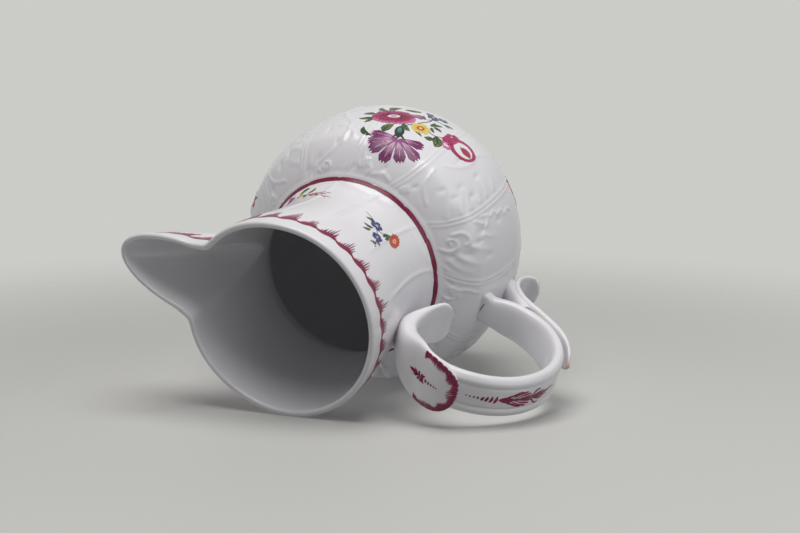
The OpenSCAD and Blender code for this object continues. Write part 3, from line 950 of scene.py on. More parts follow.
def paintPiece(name, surface, strokes):
    copies = []
    for stroke in strokes:
        copy = bpy.data.objects.new(name, laidDab(brushes[stroke["brush"]], surface, stroke))
        bpy.context.scene.collection.objects.link(copy)
        copies.append(copy)
    deselect()
    for copy in copies:
        copy.select_set(True)
    bpy.context.view_layer.objects.active = copies[0]
    bpy.ops.object.join()
    piece = bpy.context.object
    piece.name = name
    bpy.ops.object.mode_set(mode="EDIT")
    bpy.ops.mesh.select_all(action="SELECT")
    bpy.ops.mesh.normals_make_consistent(inside=False)
    bpy.ops.object.mode_set(mode="OBJECT")
    smoothShade(piece, 40)
    piece.data.materials.clear()
    piece.data.materials.append(enamel)
    onBody(piece, "porcelain")
    print("stage: painted", name, len(strokes), "strokes,", len(piece.data.polygons), "faces")
    return piece


# Where the strokes go: across to the right and away from the mouth, in millimetres

def bellySurface(anchor):
    def surface(a, s, lift):
        radius = np.interp(s, bellyArc, bellyCurve[:, 0])
        return bellyPoint(anchor - np.degrees(a / radius), s, lift)
    return surface


def neckSurface(anchor):
    def surface(a, s, lift):
        height = jointHeight - s
        return neckPoint(anchor - np.degrees(a / neckRound(height)), height, lift)
    return surface


rimTurns = np.linspace(180, -180, 2881)
rimLine = neckPoint(rimTurns, np.full(2881, 172.0))
rimArc = np.concatenate([[0], np.cumsum(np.linalg.norm(np.diff(rimLine, axis=0), axis=1))])


def rimSurface(a, s, lift):
    # runs along the outline of the mouth and the spout; s is the distance below the rim
    turn = np.interp(np.mod(a, rimArc[-1]), rimArc, rimTurns)
    height = bodySet["rimHeight"] - s
    slant = (neckRadius(turn + 0.2, height) - neckRadius(turn - 0.2, height)) / math.radians(0.4)
    steep = np.minimum(np.sqrt(1 + (slant / neckRadius(turn, height)) ** 2), 5)
    return neckPoint(turn, height, lift * steep)


def strapSurface(a, y, lift):
    # along the outer face of the strap, down from the shield
    s = strapSet
    degrees = s["paintStart"] - a / s["paintDegree"]
    angle = np.radians(degrees)
    normal = np.stack([s["rise"] * np.cos(angle), s["out"] * np.sin(angle)], -1)
    normal /= np.linalg.norm(normal, axis=-1)[..., None]
    half = (s["thick"] - 0.5) / 2
    level = half * (1 - np.minimum(np.abs(y) / s["paintHalf"], 0.98) ** 3.2) ** (1 / 3.2)
    level = level + strapFace(y, 1 + 0 * y, s["paintHalf"], 0) + lift
    spot = bowPoint(degrees) + normal * level[..., None]
    return np.stack([-spot[..., 0], y, spot[..., 1]], -1)


upperSlope = np.gradient(upperPath, axis=0)
upperSlope /= np.linalg.norm(upperSlope, axis=1)[:, None]
upperShare = np.linspace(0, 1, len(upperPath))
upperLength = np.linalg.norm(np.diff(upperPath, axis=0), axis=1).sum()
upperHalves = np.array([(upperWidth(t) / 2, upperThick(t) / 2) for t in upperShare])


def shieldSurface(a, y, lift):
    # on the outer face of the upper scroll; a runs along it to the shield's tip
    share = np.clip(a / upperLength, 0, 1)
    columns = (*upperPath.T, *upperSlope.T, *upperHalves.T)
    u, z, du, dz, halfW, halfT = (np.interp(share, upperShare, column) for column in columns)
    level = halfT * (1 - np.minimum(np.abs(y) / halfW, 0.985) ** 3) ** (1 / 3) + lift
    return np.stack([-(u - dz * level), y, z + du * level], -1)


# Flowers and leaves

def polar(centre, degrees, radius):
    a = math.radians(degrees)
    return (centre[0] + radius * math.cos(a), centre[1] + radius * math.sin(a))


def moved(strokes, across, down, size=1.0, flip=1, stretch=1.0, turn=0.0):
    # the same strokes in another place, and larger, mirrored, stretched or turned
    cs, sn = math.cos(math.radians(turn)), math.sin(math.radians(turn))
    copies = []
    for stroke in strokes:
        path = [(flip * stretch * size * x, size * y) for x, y in stroke["path"]]
        path = [(across + cs * x - sn * y, down + sn * x + cs * y) for x, y in path]
        copies.append(dict(stroke, path=path, half=stroke["half"] * size))
    return copies


def petalRing(centre, count, inner, outer, half, start, end, layer, shape="drop", edge=None, phase=0.0):
    strokes = []
    for k in range(count):
        angle = phase + 360 * k / count + rng.normal(0, 2.5)
        far = outer * (1 + rng.normal(0, 0.05))
        path = [polar(centre, angle, inner), polar(centre, angle + 3, far)]
        strokes.append(dab(path, half, shape, start, end, layer, edge=edge))
    return strokes


def spotDab(centre, radius, colour, layer, wide=1.0, lean=0.0, edge=None):
    # a round touch of the brush, or an oval one
    ends = [polar(centre, lean + 180, radius * wide), polar(centre, lean, radius * wide)]
    return dab(ends, radius, "dot", colour, colour, layer, "petal" if radius > 3 else "dab", edge)


def leafDabs(start, end, half, bow=0.12, dark="greenDark", mid="green", pale="greenPale", layer=0):
    start, end = np.array(start, float), np.array(end, float)
    run = end - start
    side = np.array([-run[1], run[0]])
    path = [start, start + 0.5 * run + bow * side, end]
    strokes = [dab(path, 1.15 * half, "leaf", mid, pale, layer, edge=(dark, 0.85)),
               dab(path, 0.13 * half + 0.08, "taper", dark, dark, layer + 2)]
    for share, way in ((0.25, 1), (0.42, -1), (0.55, 1), (0.68, -1)):
        root = start + share * run + 4 * share * (1 - share) * bow * side
        tip = root + 0.22 * run + way * 0.75 * half * side / np.linalg.norm(side)
        strokes.append(dab([root, tip], 0.1 * half + 0.06, "taper", dark, mid, layer + 1))
    return strokes


def leafGroup(leaves):
    # leaves given by root, tip, half width, bow and green
    strokes = []
    for start, end, half, bow, mid in leaves:
        strokes += leafDabs(start, end, half, bow, mid=mid)
    return strokes


def twig(path, half=0.22, colour="green", end="greenDark", layer=0):
    return [dab(path, half, "line", colour, end, layer, brush="long")]


def asterBloom(centre, radius):
    strokes = [spotDab(centre, 0.9 * radius, "aster", 1)]
    strokes += petalRing(centre, 34, 0.45 * radius, 0.98 * radius, 0.14 * radius, "asterDark", "rose", 2,
                         edge=("asterDark", 0.35))
    for angle in np.linspace(-168, -12, 22):  # paler ruffle on the near side
        path = [polar(centre, angle, 0.66 * radius),
                polar(centre, angle + 4, radius * (1.02 + rng.normal(0, 0.025)))]
        strokes.append(dab(path, 0.1 * radius, "drop", "rose", "rosePale", 3, edge=("rose", 0.6)))
    strokes += petalRing(centre, 24, 0.3 * radius, 0.8 * radius, 0.09 * radius, "asterDark", "aster", 4,
                         phase=7)
    strokes += petalRing(centre, 20, 0.24 * radius, 0.62 * radius, 0.06 * radius, "asterDark", "asterDark",
                         5, phase=3)
    strokes += [spotDab(centre, 0.23 * radius, "white", 6, 1.25, edge=("rosePale", 0.5)),
                spotDab(centre, 0.08 * radius, "rose", 7, 2.0)]
    return strokes


def carnationBloom(root, petals, radius):
    # each petal is a fan with a toothed end, pale in the middle, edged and veined in the dark colour
    strokes = []
    for number, (angle, reach, half) in enumerate(petals):
        reach *= radius
        path = [polar(root, angle, 0.04 * radius), polar(root, angle + rng.normal(0, 1.5), reach)]
        fan = dab(path, half * radius, "petal", "mauve", "mauve", 1 + number % 3, "petal",
                  ("mauveDark", 0.95), (3, 0.11 * radius))
        pale = dab([polar(root, angle, 0.2 * reach), polar(root, angle, 0.84 * reach)],
                   0.34 * half * radius, "leaf", "mauvePale", "mauvePale", 4)
        strokes += [fan, pale]
        for lean in (-11, -7, -3, 3, 7, 11):
            far = reach * (0.93 - 0.001 * lean * lean + rng.normal(0, 0.03))
            near = reach * (0.3 + 0.02 * abs(lean))
            vein = [polar(root, angle + lean, far), polar(root, angle + 0.7 * lean, near)]
            strokes.append(dab(vein, 0.026 * radius, "taper", "mauveDark", "mauve", 5))
    return strokes


def daisyBloom(centre, radius, pale="yellowPale", mid="yellow", eye="orange"):
    strokes = petalRing(centre, 13, 0.25 * radius, radius, 0.27 * radius, mid, pale, 1,
                        edge=("ochre", 0.45))
    strokes += petalRing(centre, 11, 0.3 * radius, 0.7 * radius, 0.05 * radius, "ochre", mid, 3, "taper",
                         phase=16)
    strokes += [spotDab(centre, 0.38 * radius, eye, 4, edge=("red", 0.5)),
                spotDab(centre, 0.17 * radius, "yellowPale", 5)]
    return strokes


def blueFloret(centre, radius):
    strokes = petalRing(centre, 5, 0.1 * radius, radius, 0.5 * radius, "bluePale", "blue", 1,
                        edge=("blueDark", 0.55), phase=18)
    strokes += petalRing(centre, 5, 0.3 * radius, 0.95 * radius, 0.09 * radius, "blueDark", "blueDark", 3,
                         "taper", phase=54)
    strokes += [spotDab(centre, 0.2 * radius, "yellowPale", 4), spotDab(centre, 0.08 * radius, "ochre", 5)]
    return strokes


def roseBloom(centre, radius, lean=-8):
    # ruffled petals on one side, a pale fold in front, and a wide white eye with a red lip in it
    at = lambda along, aside: polar(polar(centre, lean, along * radius), lean + 90, aside * radius)
    middle = at(0.2, 0.05)
    strokes = []
    for turn in (140, 162, 184, 206, 226):
        petal = [polar(centre, lean + turn, 0.3 * radius),
                 polar(centre, lean + turn + 4, radius * (1 + rng.normal(0, 0.03)))]
        strokes.append(dab(petal, 0.3 * radius, "drop", "rose", "rose", 1, edge=("roseDark", 0.7)))
        strokes.append(dab(petal, 0.05 * radius, "taper", "roseDark", "roseDark", 4))
    strokes += [spotDab(middle, 0.88 * radius, "rose", 2, 0.94, lean, ("roseDark", 0.3)),
                spotDab(at(0.27, 0.04), 0.6 * radius, "white", 5, 0.98, lean)]
    for k in range(24):
        turn = 15 * k + rng.normal(0, 3)
        ring = [polar(middle, turn, 0.68 * radius), polar(middle, turn + 12, 0.85 * radius)]
        strokes.append(dab(ring, 0.06 * radius, "leaf", "roseDark", "rose", 3))
    strokes += [spotDab(at(-0.42, -0.8), 0.26 * radius, "rosePale", 4, 1.2, lean, ("rose", 0.7)),
                spotDab(at(-0.42, -0.82), 0.12 * radius, "white", 5, 1.2, lean)]
    strokes.append(dab([at(0.08, 0), at(0.4, 0.08), at(0.84, 0.04)], 0.3 * radius, "leaf", "rose", "red", 6,
                       edge=("roseDark", 0.5)))
    strokes.append(dab([at(0, 0.02), at(0.4, 0.1), at(0.7, 0.06)], 0.06 * radius, "taper", "roseDark",
                       "roseDark", 8))
    return strokes


def roundBloom(centre, radius, dark="red", mid="orange", pale="orangePale"):
    strokes = [spotDab(centre, 0.93 * radius, mid, 1)]
    strokes += petalRing(centre, 14, 0.45 * radius, radius, 0.2 * radius, mid, mid, 2, edge=(dark, 0.35))
    strokes += petalRing(centre, 12, 0.35 * radius, 0.85 * radius, 0.05 * radius, dark, mid, 3, "taper",
                         phase=20)
    strokes += [spotDab(centre, 0.34 * radius, pale, 5), spotDab(centre, 0.12 * radius, dark, 7)]
    return strokes


# The two bouquets on the belly and the strewn sprigs

bouquetSet = {"front": -92.0, "back": 84.0, "carnation": (-2.6, 27.8), "carnationSize": 15.6}
frontLeaves = [
    ((-11.8, 29.6), (-10.2, 38), 2.1, 0.12, "green"),
    ((-6.6, 41.4), (-0.8, 37.2), 1.5, -0.12, "teal"),
    ((1.4, 39), (5.8, 37.6), 0.6, 0.1, "teal"),
    ((-24, 45.2), (-30, 44.2), 1.5, -0.12, "green"),
    ((-23.6, 41), (-29.6, 38.2), 1.2, 0.1, "teal"),
    ((-23.4, 40.4), (-24.8, 34.6), 1.1, 0.1, "teal"),
    ((-19.2, 53), (-16.6, 62.2), 1.7, 0.12, "green"),
    ((-14, 60), (-6.8, 65.6), 1.6, -0.12, "green"),
    ((-21, 51), (-25.4, 56.5), 1.5, 0.15, "teal"),
    ((4.6, 51.2), (8.8, 57.8), 1.1, 0.1, "teal"),
    ((4.4, 51), (4.4, 57), 1.0, -0.1, "teal"),
    ((6, 51.4), (11, 51.2), 1.1, 0.12, "teal"),
    ((5.6, 50), (8.8, 46.4), 0.9, -0.1, "teal"),
    ((-0.4, 55.4), (-3.4, 60), 0.9, 0.1, "teal"),
    ((8, 61.6), (12.6, 64), 0.9, 0.1, "teal"),
    ((10.2, 41.4), (7, 38.2), 1.5, 0.15, "green"),
    ((10.8, 44.4), (14.2, 36.6), 2.6, 0.15, "green"),
]
backLeaves = [
    ((-16, 36), (-24, 33), 2.2, 0.15, "green"),
    ((-17, 38), (-25, 41), 2.0, 0.15, "green"),
    ((20, 44), (28, 42), 2.1, 0.15, "green"),
    ((21, 52), (29, 55), 2.0, 0.15, "green"),
    ((-4, 54), (-8, 62), 2.0, 0.15, "green"),
    ((9, 38), (14, 32), 2.0, 0.15, "green"),
    ((9, 62), (15, 66), 1.8, 0.15, "green"),
    ((-14, 53), (-20, 58), 1.5, 0.15, "green"),
]


def frontBouquet():
    strokes = twig([(-4.5, 35), (-5, 40), (-1, 48), (2, 56), (1, 62)], 0.28)
    strokes += twig([(-0.2, 56), (4, 61), (11.5, 61.2)], 0.22)
    strokes += twig([(-12, 44), (-19, 40), (-25, 41)], 0.22)
    strokes += twig([(3, 47), (9, 44), (15, 48)], 0.22) + twig([(1, 60), (3, 65), (4.8, 68)], 0.2)
    strokes += leafGroup(frontLeaves)
    strokes.append(dab([(-22.8, 30.4), (-21.6, 27.2), (-18.8, 25), (-15, 24.2)], 1.35, "leaf", "green",
                       "greenDark", 4, "long", ("greenDark", 0.6)))
    bud = [(-9.5, 53.5), (-2.2, 56.5)]
    strokes.append(dab(bud, 3.4, "petal", "mauvePale", "mauve", 0, "petal", ("mauveDark", 0.6), (5, 1.2)))
    petals = [(-176, 0.87, 0.2), (-151, 0.92, 0.22), (-125, 0.96, 0.24), (-91, 1.02, 0.23),
              (-57, 0.93, 0.23), (-22, 1.02, 0.24), (15, 0.84, 0.22)]
    strokes += carnationBloom(bouquetSet["carnation"], petals, bouquetSet["carnationSize"])
    strokes.append(dab([(-6.4, 38.4), (-3, 28.2)], 2.5, "leaf", "teal", "greenDark", 7,
                       edge=("greenDark", 0.9)))
    strokes.append(dab([(-6, 36.8), (-4, 30.8)], 1.1, "leaf", "tealPale", "teal", 8))
    for tip in ((-5.6, 27.2), (-2.6, 26.6), (1.8, 28)):
        strokes.append(dab([(-4.6, 32.4), tip], 0.85, "taper", "greenDark", "greenDark", 8))
    strokes += moved(asterBloom((0, 0), 8.8), -14.2, 46.4, stretch=1.28, turn=28)
    strokes += daisyBloom((2, 43.8), 5.1)
    strokes += blueFloret((0.6, 63.6), 3.3) + blueFloret((4.9, 68), 2.7) + blueFloret((-2.6, 67.6), 2.2)
    strokes += roseBloom((22.8, 50.4), 9.7)
    return strokes


def backBouquet():
    # the far side isn't in the photo: the same flowers in another order
    strokes = twig([(-16, 36), (-6, 44), (0, 52), (4, 60)], 0.3) + twig([(0, 52), (12, 50), (20, 44)], 0.25)
    strokes += roseBloom((-8, 44), 10.5, 20) + asterBloom((14, 50), 8.6) + daisyBloom((4, 60.5), 5.0)
    strokes += blueFloret((-18, 55), 2.6) + blueFloret((-22, 51), 2.3) + roundBloom((2, 33), 4.2)
    strokes += leafGroup(backLeaves)
    return strokes


# small sprigs strewn over the belly: name, turn, distance below the neck, size and hand
strewnSprigs = [
    ("belly_sprig_low", -139.0, 83.0, 1.0, 1),
    ("belly_sprig_spout", -4.0, 22.0, 0.8, -1),
    ("belly_sprig_far", 136.0, 84.0, 1.0, -1),
    ("belly_sprig_side", 36.0, 84.0, 0.9, 1),
]


def looseSprig(bloom):
    strokes = twig([(-7, 3), (-2, -1), (4, 1), (8, -2)], 0.2) + bloom
    return strokes + leafGroup([((-3, 0), (-6, -4), 1.1, 0.1, "green"), ((2, 1), (4, 5), 1.1, 0.1, "teal"),
                                ((5, 0.5), (10, 2.5), 1.0, 0.1, "green")])


def blueSprig():
    strokes = twig([(-11.7, -20.4), (-7, -22.6), (-3.4, -25), (1, -32), (4, -40)], 0.16)
    strokes += twig([(-1, -28.5), (4, -26), (8, -23)], 0.16)
    strokes += leafGroup([((-5.5, -23.2), (-9.3, -25), 0.95, 0.1, "teal"),
                          ((-2.8, -30), (-7.6, -31.5), 1.0, 0.2, "green"),
                          ((-3, -33), (-6, -36.8), 0.9, 0.1, "green"),
                          ((3.4, -28.5), (5.4, -22.8), 1.0, 0.1, "teal"),
                          ((3, -36), (6.2, -38.6), 0.9, -0.1, "teal"),
                          ((5, -25), (5, -29.5), 0.8, 0.1, "green")])
    strokes += blueFloret((-2.6, -25.6), 3.4) + blueFloret((2.0, -33.8), 3.2)
    strokes += blueFloret((3.3, -40.4), 1.3)
    strokes += [spotDab((1.8, -41.6), 0.5, "blue", 2), spotDab((4.8, -42.6), 0.45, "blue", 2)]
    strokes += moved(roundBloom((0, 0), 3.2), 8.4, -22.5, stretch=1.75, turn=98)
    return strokes


def purpleSprig():
    strokes = twig([(-6, -6), (2, -10), (10, -15), (21, -19.7)], 0.16)
    strokes += twig([(4, -11), (12, -12), (18, -13)], 0.14)
    petals = [(205, 0.9, 0.22), (180, 1.0, 0.22), (154, 1.0, 0.22), (232, 0.8, 0.22)]
    strokes += carnationBloom((-6.5, -6.3), petals, 6.8)
    strokes += leafGroup([((-4, -5.6), (2, -3.6), 0.9, 0.1, "green"),
                          ((3, -9), (6, -5), 0.9, -0.1, "green"),
                          ((1, -10), (3, -14.5), 0.9, 0.1, "green")])
    strokes += daisyBloom((-2.6, -7.6), 2.0) + roundBloom((8.6, -13.6), 2.2)
    strokes += leafDabs((12, -15.8), (16, -14.2), 0.7, 0.1, mid="orange", pale="orangePale", dark="red")
    strokes += [spotDab((x, y), 0.5, "orange", 2) for x, y in ((12.5, -17.4), (15, -17), (17.5, -19.6))]
    return strokes


# Puce feather edge below the rim, shield border, rosette, husk and neck line

featherSet = {"pitch": 10.2, "peakTurn": -101.0, "base": 9.0, "band": 0.85, "tall": 8.9, "bristles": 9}


def featherEdge():
    # a waved band, each wave with a fan of fine bristles on its lower side
    f = featherSet
    teeth = int(round(rimArc[-1] / f["pitch"]))
    pitch = rimArc[-1] / teeth
    peak = np.interp(-f["peakTurn"], -rimTurns, rimArc)
    strokes = []
    for k in range(teeth):
        start = peak + (k - 0.6) * pitch
        at = lambda share, drop: (start + share * pitch, f["base"] + drop)
        tall = f["tall"] * (1 + rng.normal(0, 0.1))
        strokes.append(dab([at(-0.06, 0.6), at(0.3, -0.5), at(0.65, 0.6), at(1.02, 0.6)], f["band"], "line",
                           "puce", "puceDark", 1, "long"))
        strokes.append(dab([at(0.12, 0.3), at(0.45, 0.14 * tall), at(0.68, 0.26 * tall), at(0.94, 0.6)],
                           1.2, "leaf", "puce", "puce", 0, "long"))
        for n in range(f["bristles"]):
            share = n / (f["bristles"] - 1)
            rise = tall * (0.24 + 0.76 * math.sin(math.pi * share**1.4)) * (1 + rng.normal(0, 0.14))
            root = at(0.16 + 0.72 * share, 0.3)
            tip = (root[0] + (0.05 + 0.14 * (share - 0.5)) * rise + rng.normal(0, 0.2), root[1] + rise)
            strokes.append(dab([root, tip], 0.46, "taper", "puceDark", "puce", 2))
    return strokes


def neckLine():
    # one dark line round the foot of the neck, drawn in overlapping pulls of the brush
    strokes = []
    around = 2 * math.pi * jointRadius
    for k in range(16):
        start = k * around / 16 - 1
        run = [(start + q * (around / 16 + 2) / 4, -1.05 + rng.normal(0, 0.06)) for q in range(5)]
        strokes.append(dab(run, 0.92, "line", "puceDark", "puceDark", k % 2, "long"))
        strokes.append(dab([(x, y + 0.35) for x, y in run], 0.3, "line", "puce", "puceDark", 2, "long"))
    return strokes


shieldSet = {"rosette": 70.6, "rosetteSize": 0.8}


def shieldEdge(q, inset):
    # a point of the shield's outline, from one side round the tip to the other, and its distance inwards
    bendAt, tip, wide = 0.8 * upperLength, upperLength, upperSet["leafWidth"] / 2
    if abs(q) < 0.6:
        angle = abs(q) / 0.6 * math.pi / 2
        along, across = math.cos(angle) ** 0.8, math.sin(angle) ** 0.8
        return (bendAt + (tip - bendAt - inset) * along, math.copysign((wide - inset) * across, q))
    back = bendAt - (abs(q) - 0.6) / 0.4 * 9.5
    wide = np.interp(back / upperLength, upperShare, upperHalves[:, 0])
    return (back, math.copysign(wide - inset, q))


def shieldPaint():
    strokes = []
    marks = np.linspace(-0.74, 0.74, 21)
    for a, b in zip(marks, marks[1:]):
        run = [shieldEdge(a, 1.5), shieldEdge((a + b) / 2, 1.3), shieldEdge(b, 1.5)]
        strokes.append(dab(run, 1.15 * (1.15 - abs(a + b) / 4), "line", "puce", "puceDark", 1))
    for q in np.linspace(-0.72, 0.72, 70):
        wave = 0.5 + 0.5 * math.cos(q * 26)
        deep = (1.7 + 1.7 * wave) * (1.1 - 0.6 * abs(q)) + rng.normal(0, 0.2)
        path = [shieldEdge(q, 0.8), shieldEdge(q + 0.012, 1.4 + deep)]
        colour = "pucePale" if rng.random() < 0.3 else "puce"
        strokes.append(dab(path, 0.55, "taper", "puceDark", colour, 2))
    flower = [dab([(-2.6, 0), (-9.6, -0.4)], 1.1, "leaf", "puce", "puceDark", 1)]
    for along, y in ((-6, 2.2), (-6, -2.4), (-4, 2.2), (-4.2, -2.4)):
        flower.append(dab([(-2.4, 0), (along, y)], 0.75, "taper", "puceDark", "puce", 1))
    flower += petalRing((0, 0), 6, 0.3, 2.9, 1.15, "puceDark", "puce", 1)
    flower += [spotDab((0, 0), 0.5, "pucePale", 3)]
    for y in (-2.4, 2.4):
        flower.append(dab([(1, 0.3 * y), (3.8, y)], 0.75, "leaf", "puceDark", "puce", 2))
    for along, size in ((4.6, 0.72), (6.8, 0.62), (8.8, 0.52), (10.6, 0.42), (12.2, 0.34)):
        flower.append(spotDab((along, 0), size, "puceDark", 1, 1.5, 70))
    place = np.interp(shieldSet["rosette"], upperPath[60:, 0], upperShare[60:] * upperLength)
    return strokes + moved(flower, place, 0, shieldSet["rosetteSize"])


def strapHusk():
    beads = ((0, 0.32), (1.8, 0.4), (3.7, 0.46), (5.6, 0.54))
    strokes = [spotDab((m, 0), size, "puceDark", 1, 1.2, 60) for m, size in beads]
    for m, long in ((7.6, 1.1), (9.7, 1.4), (11.9, 1.8), (14.2, 2.1)):
        strokes.append(dab([(m - 0.5, long), (m + 0.4, 0), (m + 0.7, -long)], 0.75, "leaf", "puce",
                           "puceDark", 1))
    strokes.append(dab([(23.5, 0), (15.6, 0)], 1.6, "leaf", "puceDark", "puce", 2))
    for root, m, y, half in ((17.5, 25, 2.6, 0.6), (19.5, 28.5, 3.9, 0.7), (21.5, 31.5, 3.7, 0.7),
                             (23.5, 33.5, 2.6, 0.65), (25.5, 35, 1.3, 0.55)):
        for way in (-1, 1):
            path = [(root, 0.2 * way), (0.5 * (root + m), 0.72 * way * y), (m, way * y)]
            strokes.append(dab(path, half, "drop", "puceDark", "puce", 2, edge=("pucePale", 0.25)))
    strokes.append(dab([(19, 0), (36, 0)], 0.55, "line", "puceDark", "puceDark", 3, "long"))
    for way in (-1, 1):
        strokes.append(dab([(34.5, 0.6 * way), (36.2, 2.8 * way), (38.4, 3.8 * way), (39.6, 2.8 * way)],
                           0.5, "leaf", "puceDark", "puce", 3, "long"))
        strokes.append(dab([(35.5, 0.3 * way), (39, 1.6 * way), (43, 2.0 * way)], 0.65, "taper", "puceDark",
                           "puce", 3))
        strokes.append(dab([(37, 0.2 * way), (41, 0.9 * way), (46, 1.0 * way)], 0.55, "taper", "puceDark",
                           "puce", 3))
    strokes.append(dab([(34.5, 0), (43, -0.3), (51.5, -1.2)], 1.15, "taper", "puceDark", "puce", 2, "long"))
    return strokes


def rootSurface(a, y, lift):
    # inner face of the strap where it meets the belly; a is the distance from the axis
    half = strapSet["thick"] / 2 + 0.5
    level = half * (1 - np.minimum(np.abs(y) / 7, 0.98) ** 3.2) ** (1 / 3.2)
    level = level + 0.35 * np.exp(-(y / 6.5) ** 2) + lift
    return np.stack([-a, y, strapSet["bow"][1] - strapSet["rise"] + level], -1)


def rootDarkLine():
    # short dark line drawn where the strap meets the belly
    return [dab([(67.6, -5), (66.7, -2), (66.2, 1)], 0.22, "leaf", "rootLine", "rootLine", 1, "long")]


# Floor, lights and camera

cameraSet = {
    "place": (-261.1, -413.3, 859.3),
    "right": (-0.8788, -0.2475, -0.4081),
    "down": (-0.3955, 0.8562, 0.3324),
    "look": (0.2672, 0.4535, -0.8502),
    "lens": 81.0,
    "sensor": 36.0,
}
stageSet = {
    "up": (0.353, -0.913, -0.206),  # the ewer lies on its side here, so the table is tilted in its frame
    "size": 3.0,
    "colour": (0.62, 0.62, 0.60, 1),
    "backdrop": (0.60, 0.60, 0.58, 1),
    "sky": 0.07,
    "skyColour": (0.97, 0.98, 1.0, 1),
    "rough": 0.6,
    "fadeFrom": 0.16,
    "fadeTo": 0.55,
    "passes": 0.55,
    "middle": (0, 0, 0.1),
    "key": 8.4,
    "keyPlace": (0, 0.94, 0.22),  # from the middle to the right, up and towards the camera
    "fill": 2.8,
    "fillPlace": (0.85, 0.25, 0.5),
    "rear": 6.6,
    "rearPlace": (0.6, 0.85, 0.05),  # from the middle, in the part's own axes
}


def makeCamera():
    deselect()
    bpy.ops.object.camera_add()
    camera = bpy.context.object
    right, up = Vector(cameraSet["right"]), -Vector(cameraSet["down"])
    back = -Vector(cameraSet["look"])
    place = Matrix((right, up, back)).transposed().to_4x4()
    place.translation = Vector(cameraSet["place"]) * mm
    camera.matrix_world = place
    camera.data.lens = cameraSet["lens"]
    camera.data.sensor_width = cameraSet["sensor"]
    camera.data.clip_start = 0.05
    bpy.context.scene.camera = camera


def aimLamp(name, place, target, size, power, colour):
    deselect()
    bpy.ops.object.light_add(type="AREA", location=place)
    lamp = bpy.context.object
    lamp.name = name
    lamp.data.shape = "DISK"
    lamp.data.size = size
    lamp.data.energy = power
    lamp.data.color = colour
    lamp.rotation_euler = (Vector(target) - Vector(place)).to_track_quat("-Z", "Y").to_euler()


def seenRays(tree, rays):
    # 1 for what the camera sees straight, in gloss or through glass
    either = mathNode(tree, "MAXIMUM", rays["Is Camera Ray"], rays["Is Glossy Ray"])
    return mathNode(tree, "MAXIMUM", either, rays["Is Transmission Ray"])


def tableFinish():
    material, tree = newMaterial("pale_table")
    shader = tree.nodes["Principled BSDF"]
    shader.inputs["Base Color"].default_value = stageSet["colour"]
    shader.inputs["Roughness"].default_value = stageSet["rough"]
    rays = addNode(tree, "LightPath", {}).outputs
    place = addNode(tree, "TexCoord", {}).outputs["Object"]
    far = addNode(tree, "VectorMath", {0: place}, operation="LENGTH").outputs["Value"]
    limits = {"Value": far, "From Min": stageSet["fadeFrom"], "From Max": stageSet["fadeTo"]}
    away = addNode(tree, "MapRange", limits, interpolation_type="SMOOTHSTEP").outputs["Result"]
    # the table melts into the plain background
    seen = mathNode(tree, "MULTIPLY", away, seenRays(tree, rays))
    # light may pass up through it, so the underside isn't black
    lit = mathNode(tree, "MULTIPLY", rays["Is Shadow Ray"], stageSet["passes"])
    soft = mathNode(tree, "MULTIPLY_ADD", rays["Is Diffuse Ray"], stageSet["passes"], lit)
    behind = addNode(tree, "NewGeometry", {}).outputs["Backfacing"]
    hidden = mathNode(tree, "MAXIMUM", mathNode(tree, "MAXIMUM", seen, soft), behind)
    clear = addNode(tree, "BsdfTransparent", {}).outputs["BSDF"]
    mix = addNode(tree, "MixShader", {"Fac": hidden, 1: shader.outputs["BSDF"], 2: clear})
    tree.links.new(mix.outputs["Shader"], tree.nodes["Material Output"].inputs["Surface"])
    return material


def makeTable(objects, up, middle):
    low = min((meshPoints(o) @ np.array(up)).min() for o in objects) * mm
    deselect()
    bpy.ops.mesh.primitive_circle_add(vertices=96, radius=stageSet["size"], fill_type="NGON")
    floor = bpy.context.object
    floor.name = "table"
    turn = up.to_track_quat("Z", "Y").to_matrix().to_4x4()
    turn.translation = up * low + middle - up * up.dot(middle)
    floor.matrix_world = turn
    floor.data.materials.append(tableFinish())


def makeWorld():
    world = bpy.data.worlds.new("studio")
    bpy.context.scene.world = world
    world.use_nodes = True
    tree = world.node_tree
    soft = tree.nodes["Background"]
    soft.inputs["Color"].default_value = stageSet["skyColour"]
    soft.inputs["Strength"].default_value = stageSet["sky"]
    back = addNode(tree, "Background", {"Color": stageSet["backdrop"], "Strength": 1})
    rays = addNode(tree, "LightPath", {}).outputs
    mix = addNode(tree, "MixShader", {"Fac": seenRays(tree, rays), 1: soft.outputs[0], 2: back.outputs[0]})
    tree.links.new(mix.outputs["Shader"], tree.nodes["World Output"].inputs["Surface"])


def makeStage(objects):
    up = Vector(stageSet["up"]).normalized()
    middle = Vector(stageSet["middle"])
    makeTable(objects, up, middle)
    makeWorld()
    axes = (Vector(cameraSet["right"]), up, -Vector(cameraSet["look"]))
    fromView = lambda shares: sum((axis * share for axis, share in zip(axes, shares)), middle)
    keyPlace, fillPlace = fromView(stageSet["keyPlace"]), fromView(stageSet["fillPlace"])
    rearPlace = middle + Vector(stageSet["rearPlace"])
    aimLamp("key", keyPlace, middle, 0.9, stageSet["key"], (1, 0.99, 0.97))
    aimLamp("fill", fillPlace, middle, 1.0, stageSet["fill"], (0.97, 0.98, 1))
    aimLamp("rear", rearPlace, middle, 1.0, stageSet["rear"], (0.98, 0.99, 1))


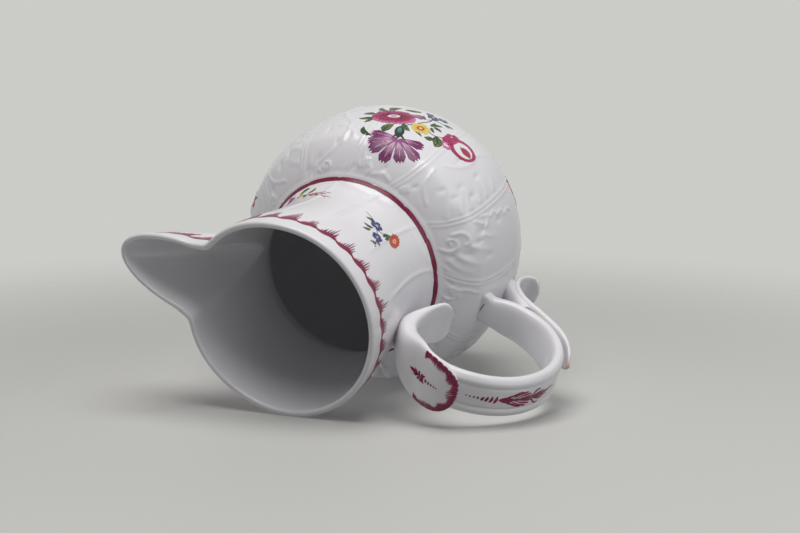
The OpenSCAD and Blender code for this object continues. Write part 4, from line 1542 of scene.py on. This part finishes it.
bpy.context.scene.view_settings.view_transform = "Standard"
glaze = porcelainFinish("white_glaze")
footGlaze = porcelainFinish("foot_glaze", bareFoot=True)
enamel = enamelFinish()

belly = makeBelly()
print("stage: belly", len(belly.data.polygons), "faces")
neck = makeNeck()
print("stage: neck and spout", len(neck.data.polygons), "faces")
foot = makeFoot()
strap = makeStrap()
upper = makeUpper()
scroll, strut = makeLower()
print("stage: handle", sum(len(o.data.polygons) for o in (strap, upper, scroll, strut)), "faces")
for piece in (belly, neck, strap, upper, scroll, strut):
    piece.data.materials.append(glaze)
foot.data.materials.append(footGlaze)
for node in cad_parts.values():
    node.data.materials.clear()
    node.data.materials.append(glaze)

brushes = {"dab": makeBrush(8, 4), "long": makeBrush(14, 4), "petal": makeBrush(9, 16)}
paintPiece("front_bouquet", bellySurface(bouquetSet["front"]), frontBouquet())
paintPiece("back_bouquet", bellySurface(bouquetSet["back"]), backBouquet())
stray = looseSprig(roundBloom((0, 0), 3.4))
for name, anchor, down, size, flip in strewnSprigs:
    paintPiece(name, bellySurface(anchor), moved(stray, 0, down, size, flip))
paintPiece("neck_sprig_blue", neckSurface(-115.0), blueSprig())
paintPiece("neck_sprig_purple", neckSurface(-45.0), purpleSprig())
paintPiece("neck_sprig_blue_far", neckSurface(68.0), blueSprig())
paintPiece("neck_sprig_purple_far", neckSurface(128.0), moved(purpleSprig(), 0, -12))
paintPiece("rim_feather_edge", rimSurface, featherEdge())
paintPiece("neck_line", neckSurface(0.0), neckLine())
blooms = []
for turn in (-25.0, 25.0):
    blooms += moved(roundBloom((0, 0), 3.0), np.interp(-turn, -rimTurns, rimArc), 15.5)
paintPiece("spout_blooms", rimSurface, blooms)
paintPiece("shield_border", shieldSurface, shieldPaint())
paintPiece("strap_husk", strapSurface, strapHusk())
paintPiece("strap_root_dark_line", rootSurface, rootDarkLine())
for brush in brushes.values():
    bpy.data.objects.remove(brush)

makeCamera()
makeStage([belly, neck, strap, upper, scroll, strut])
print("stage: camera, lights and table")
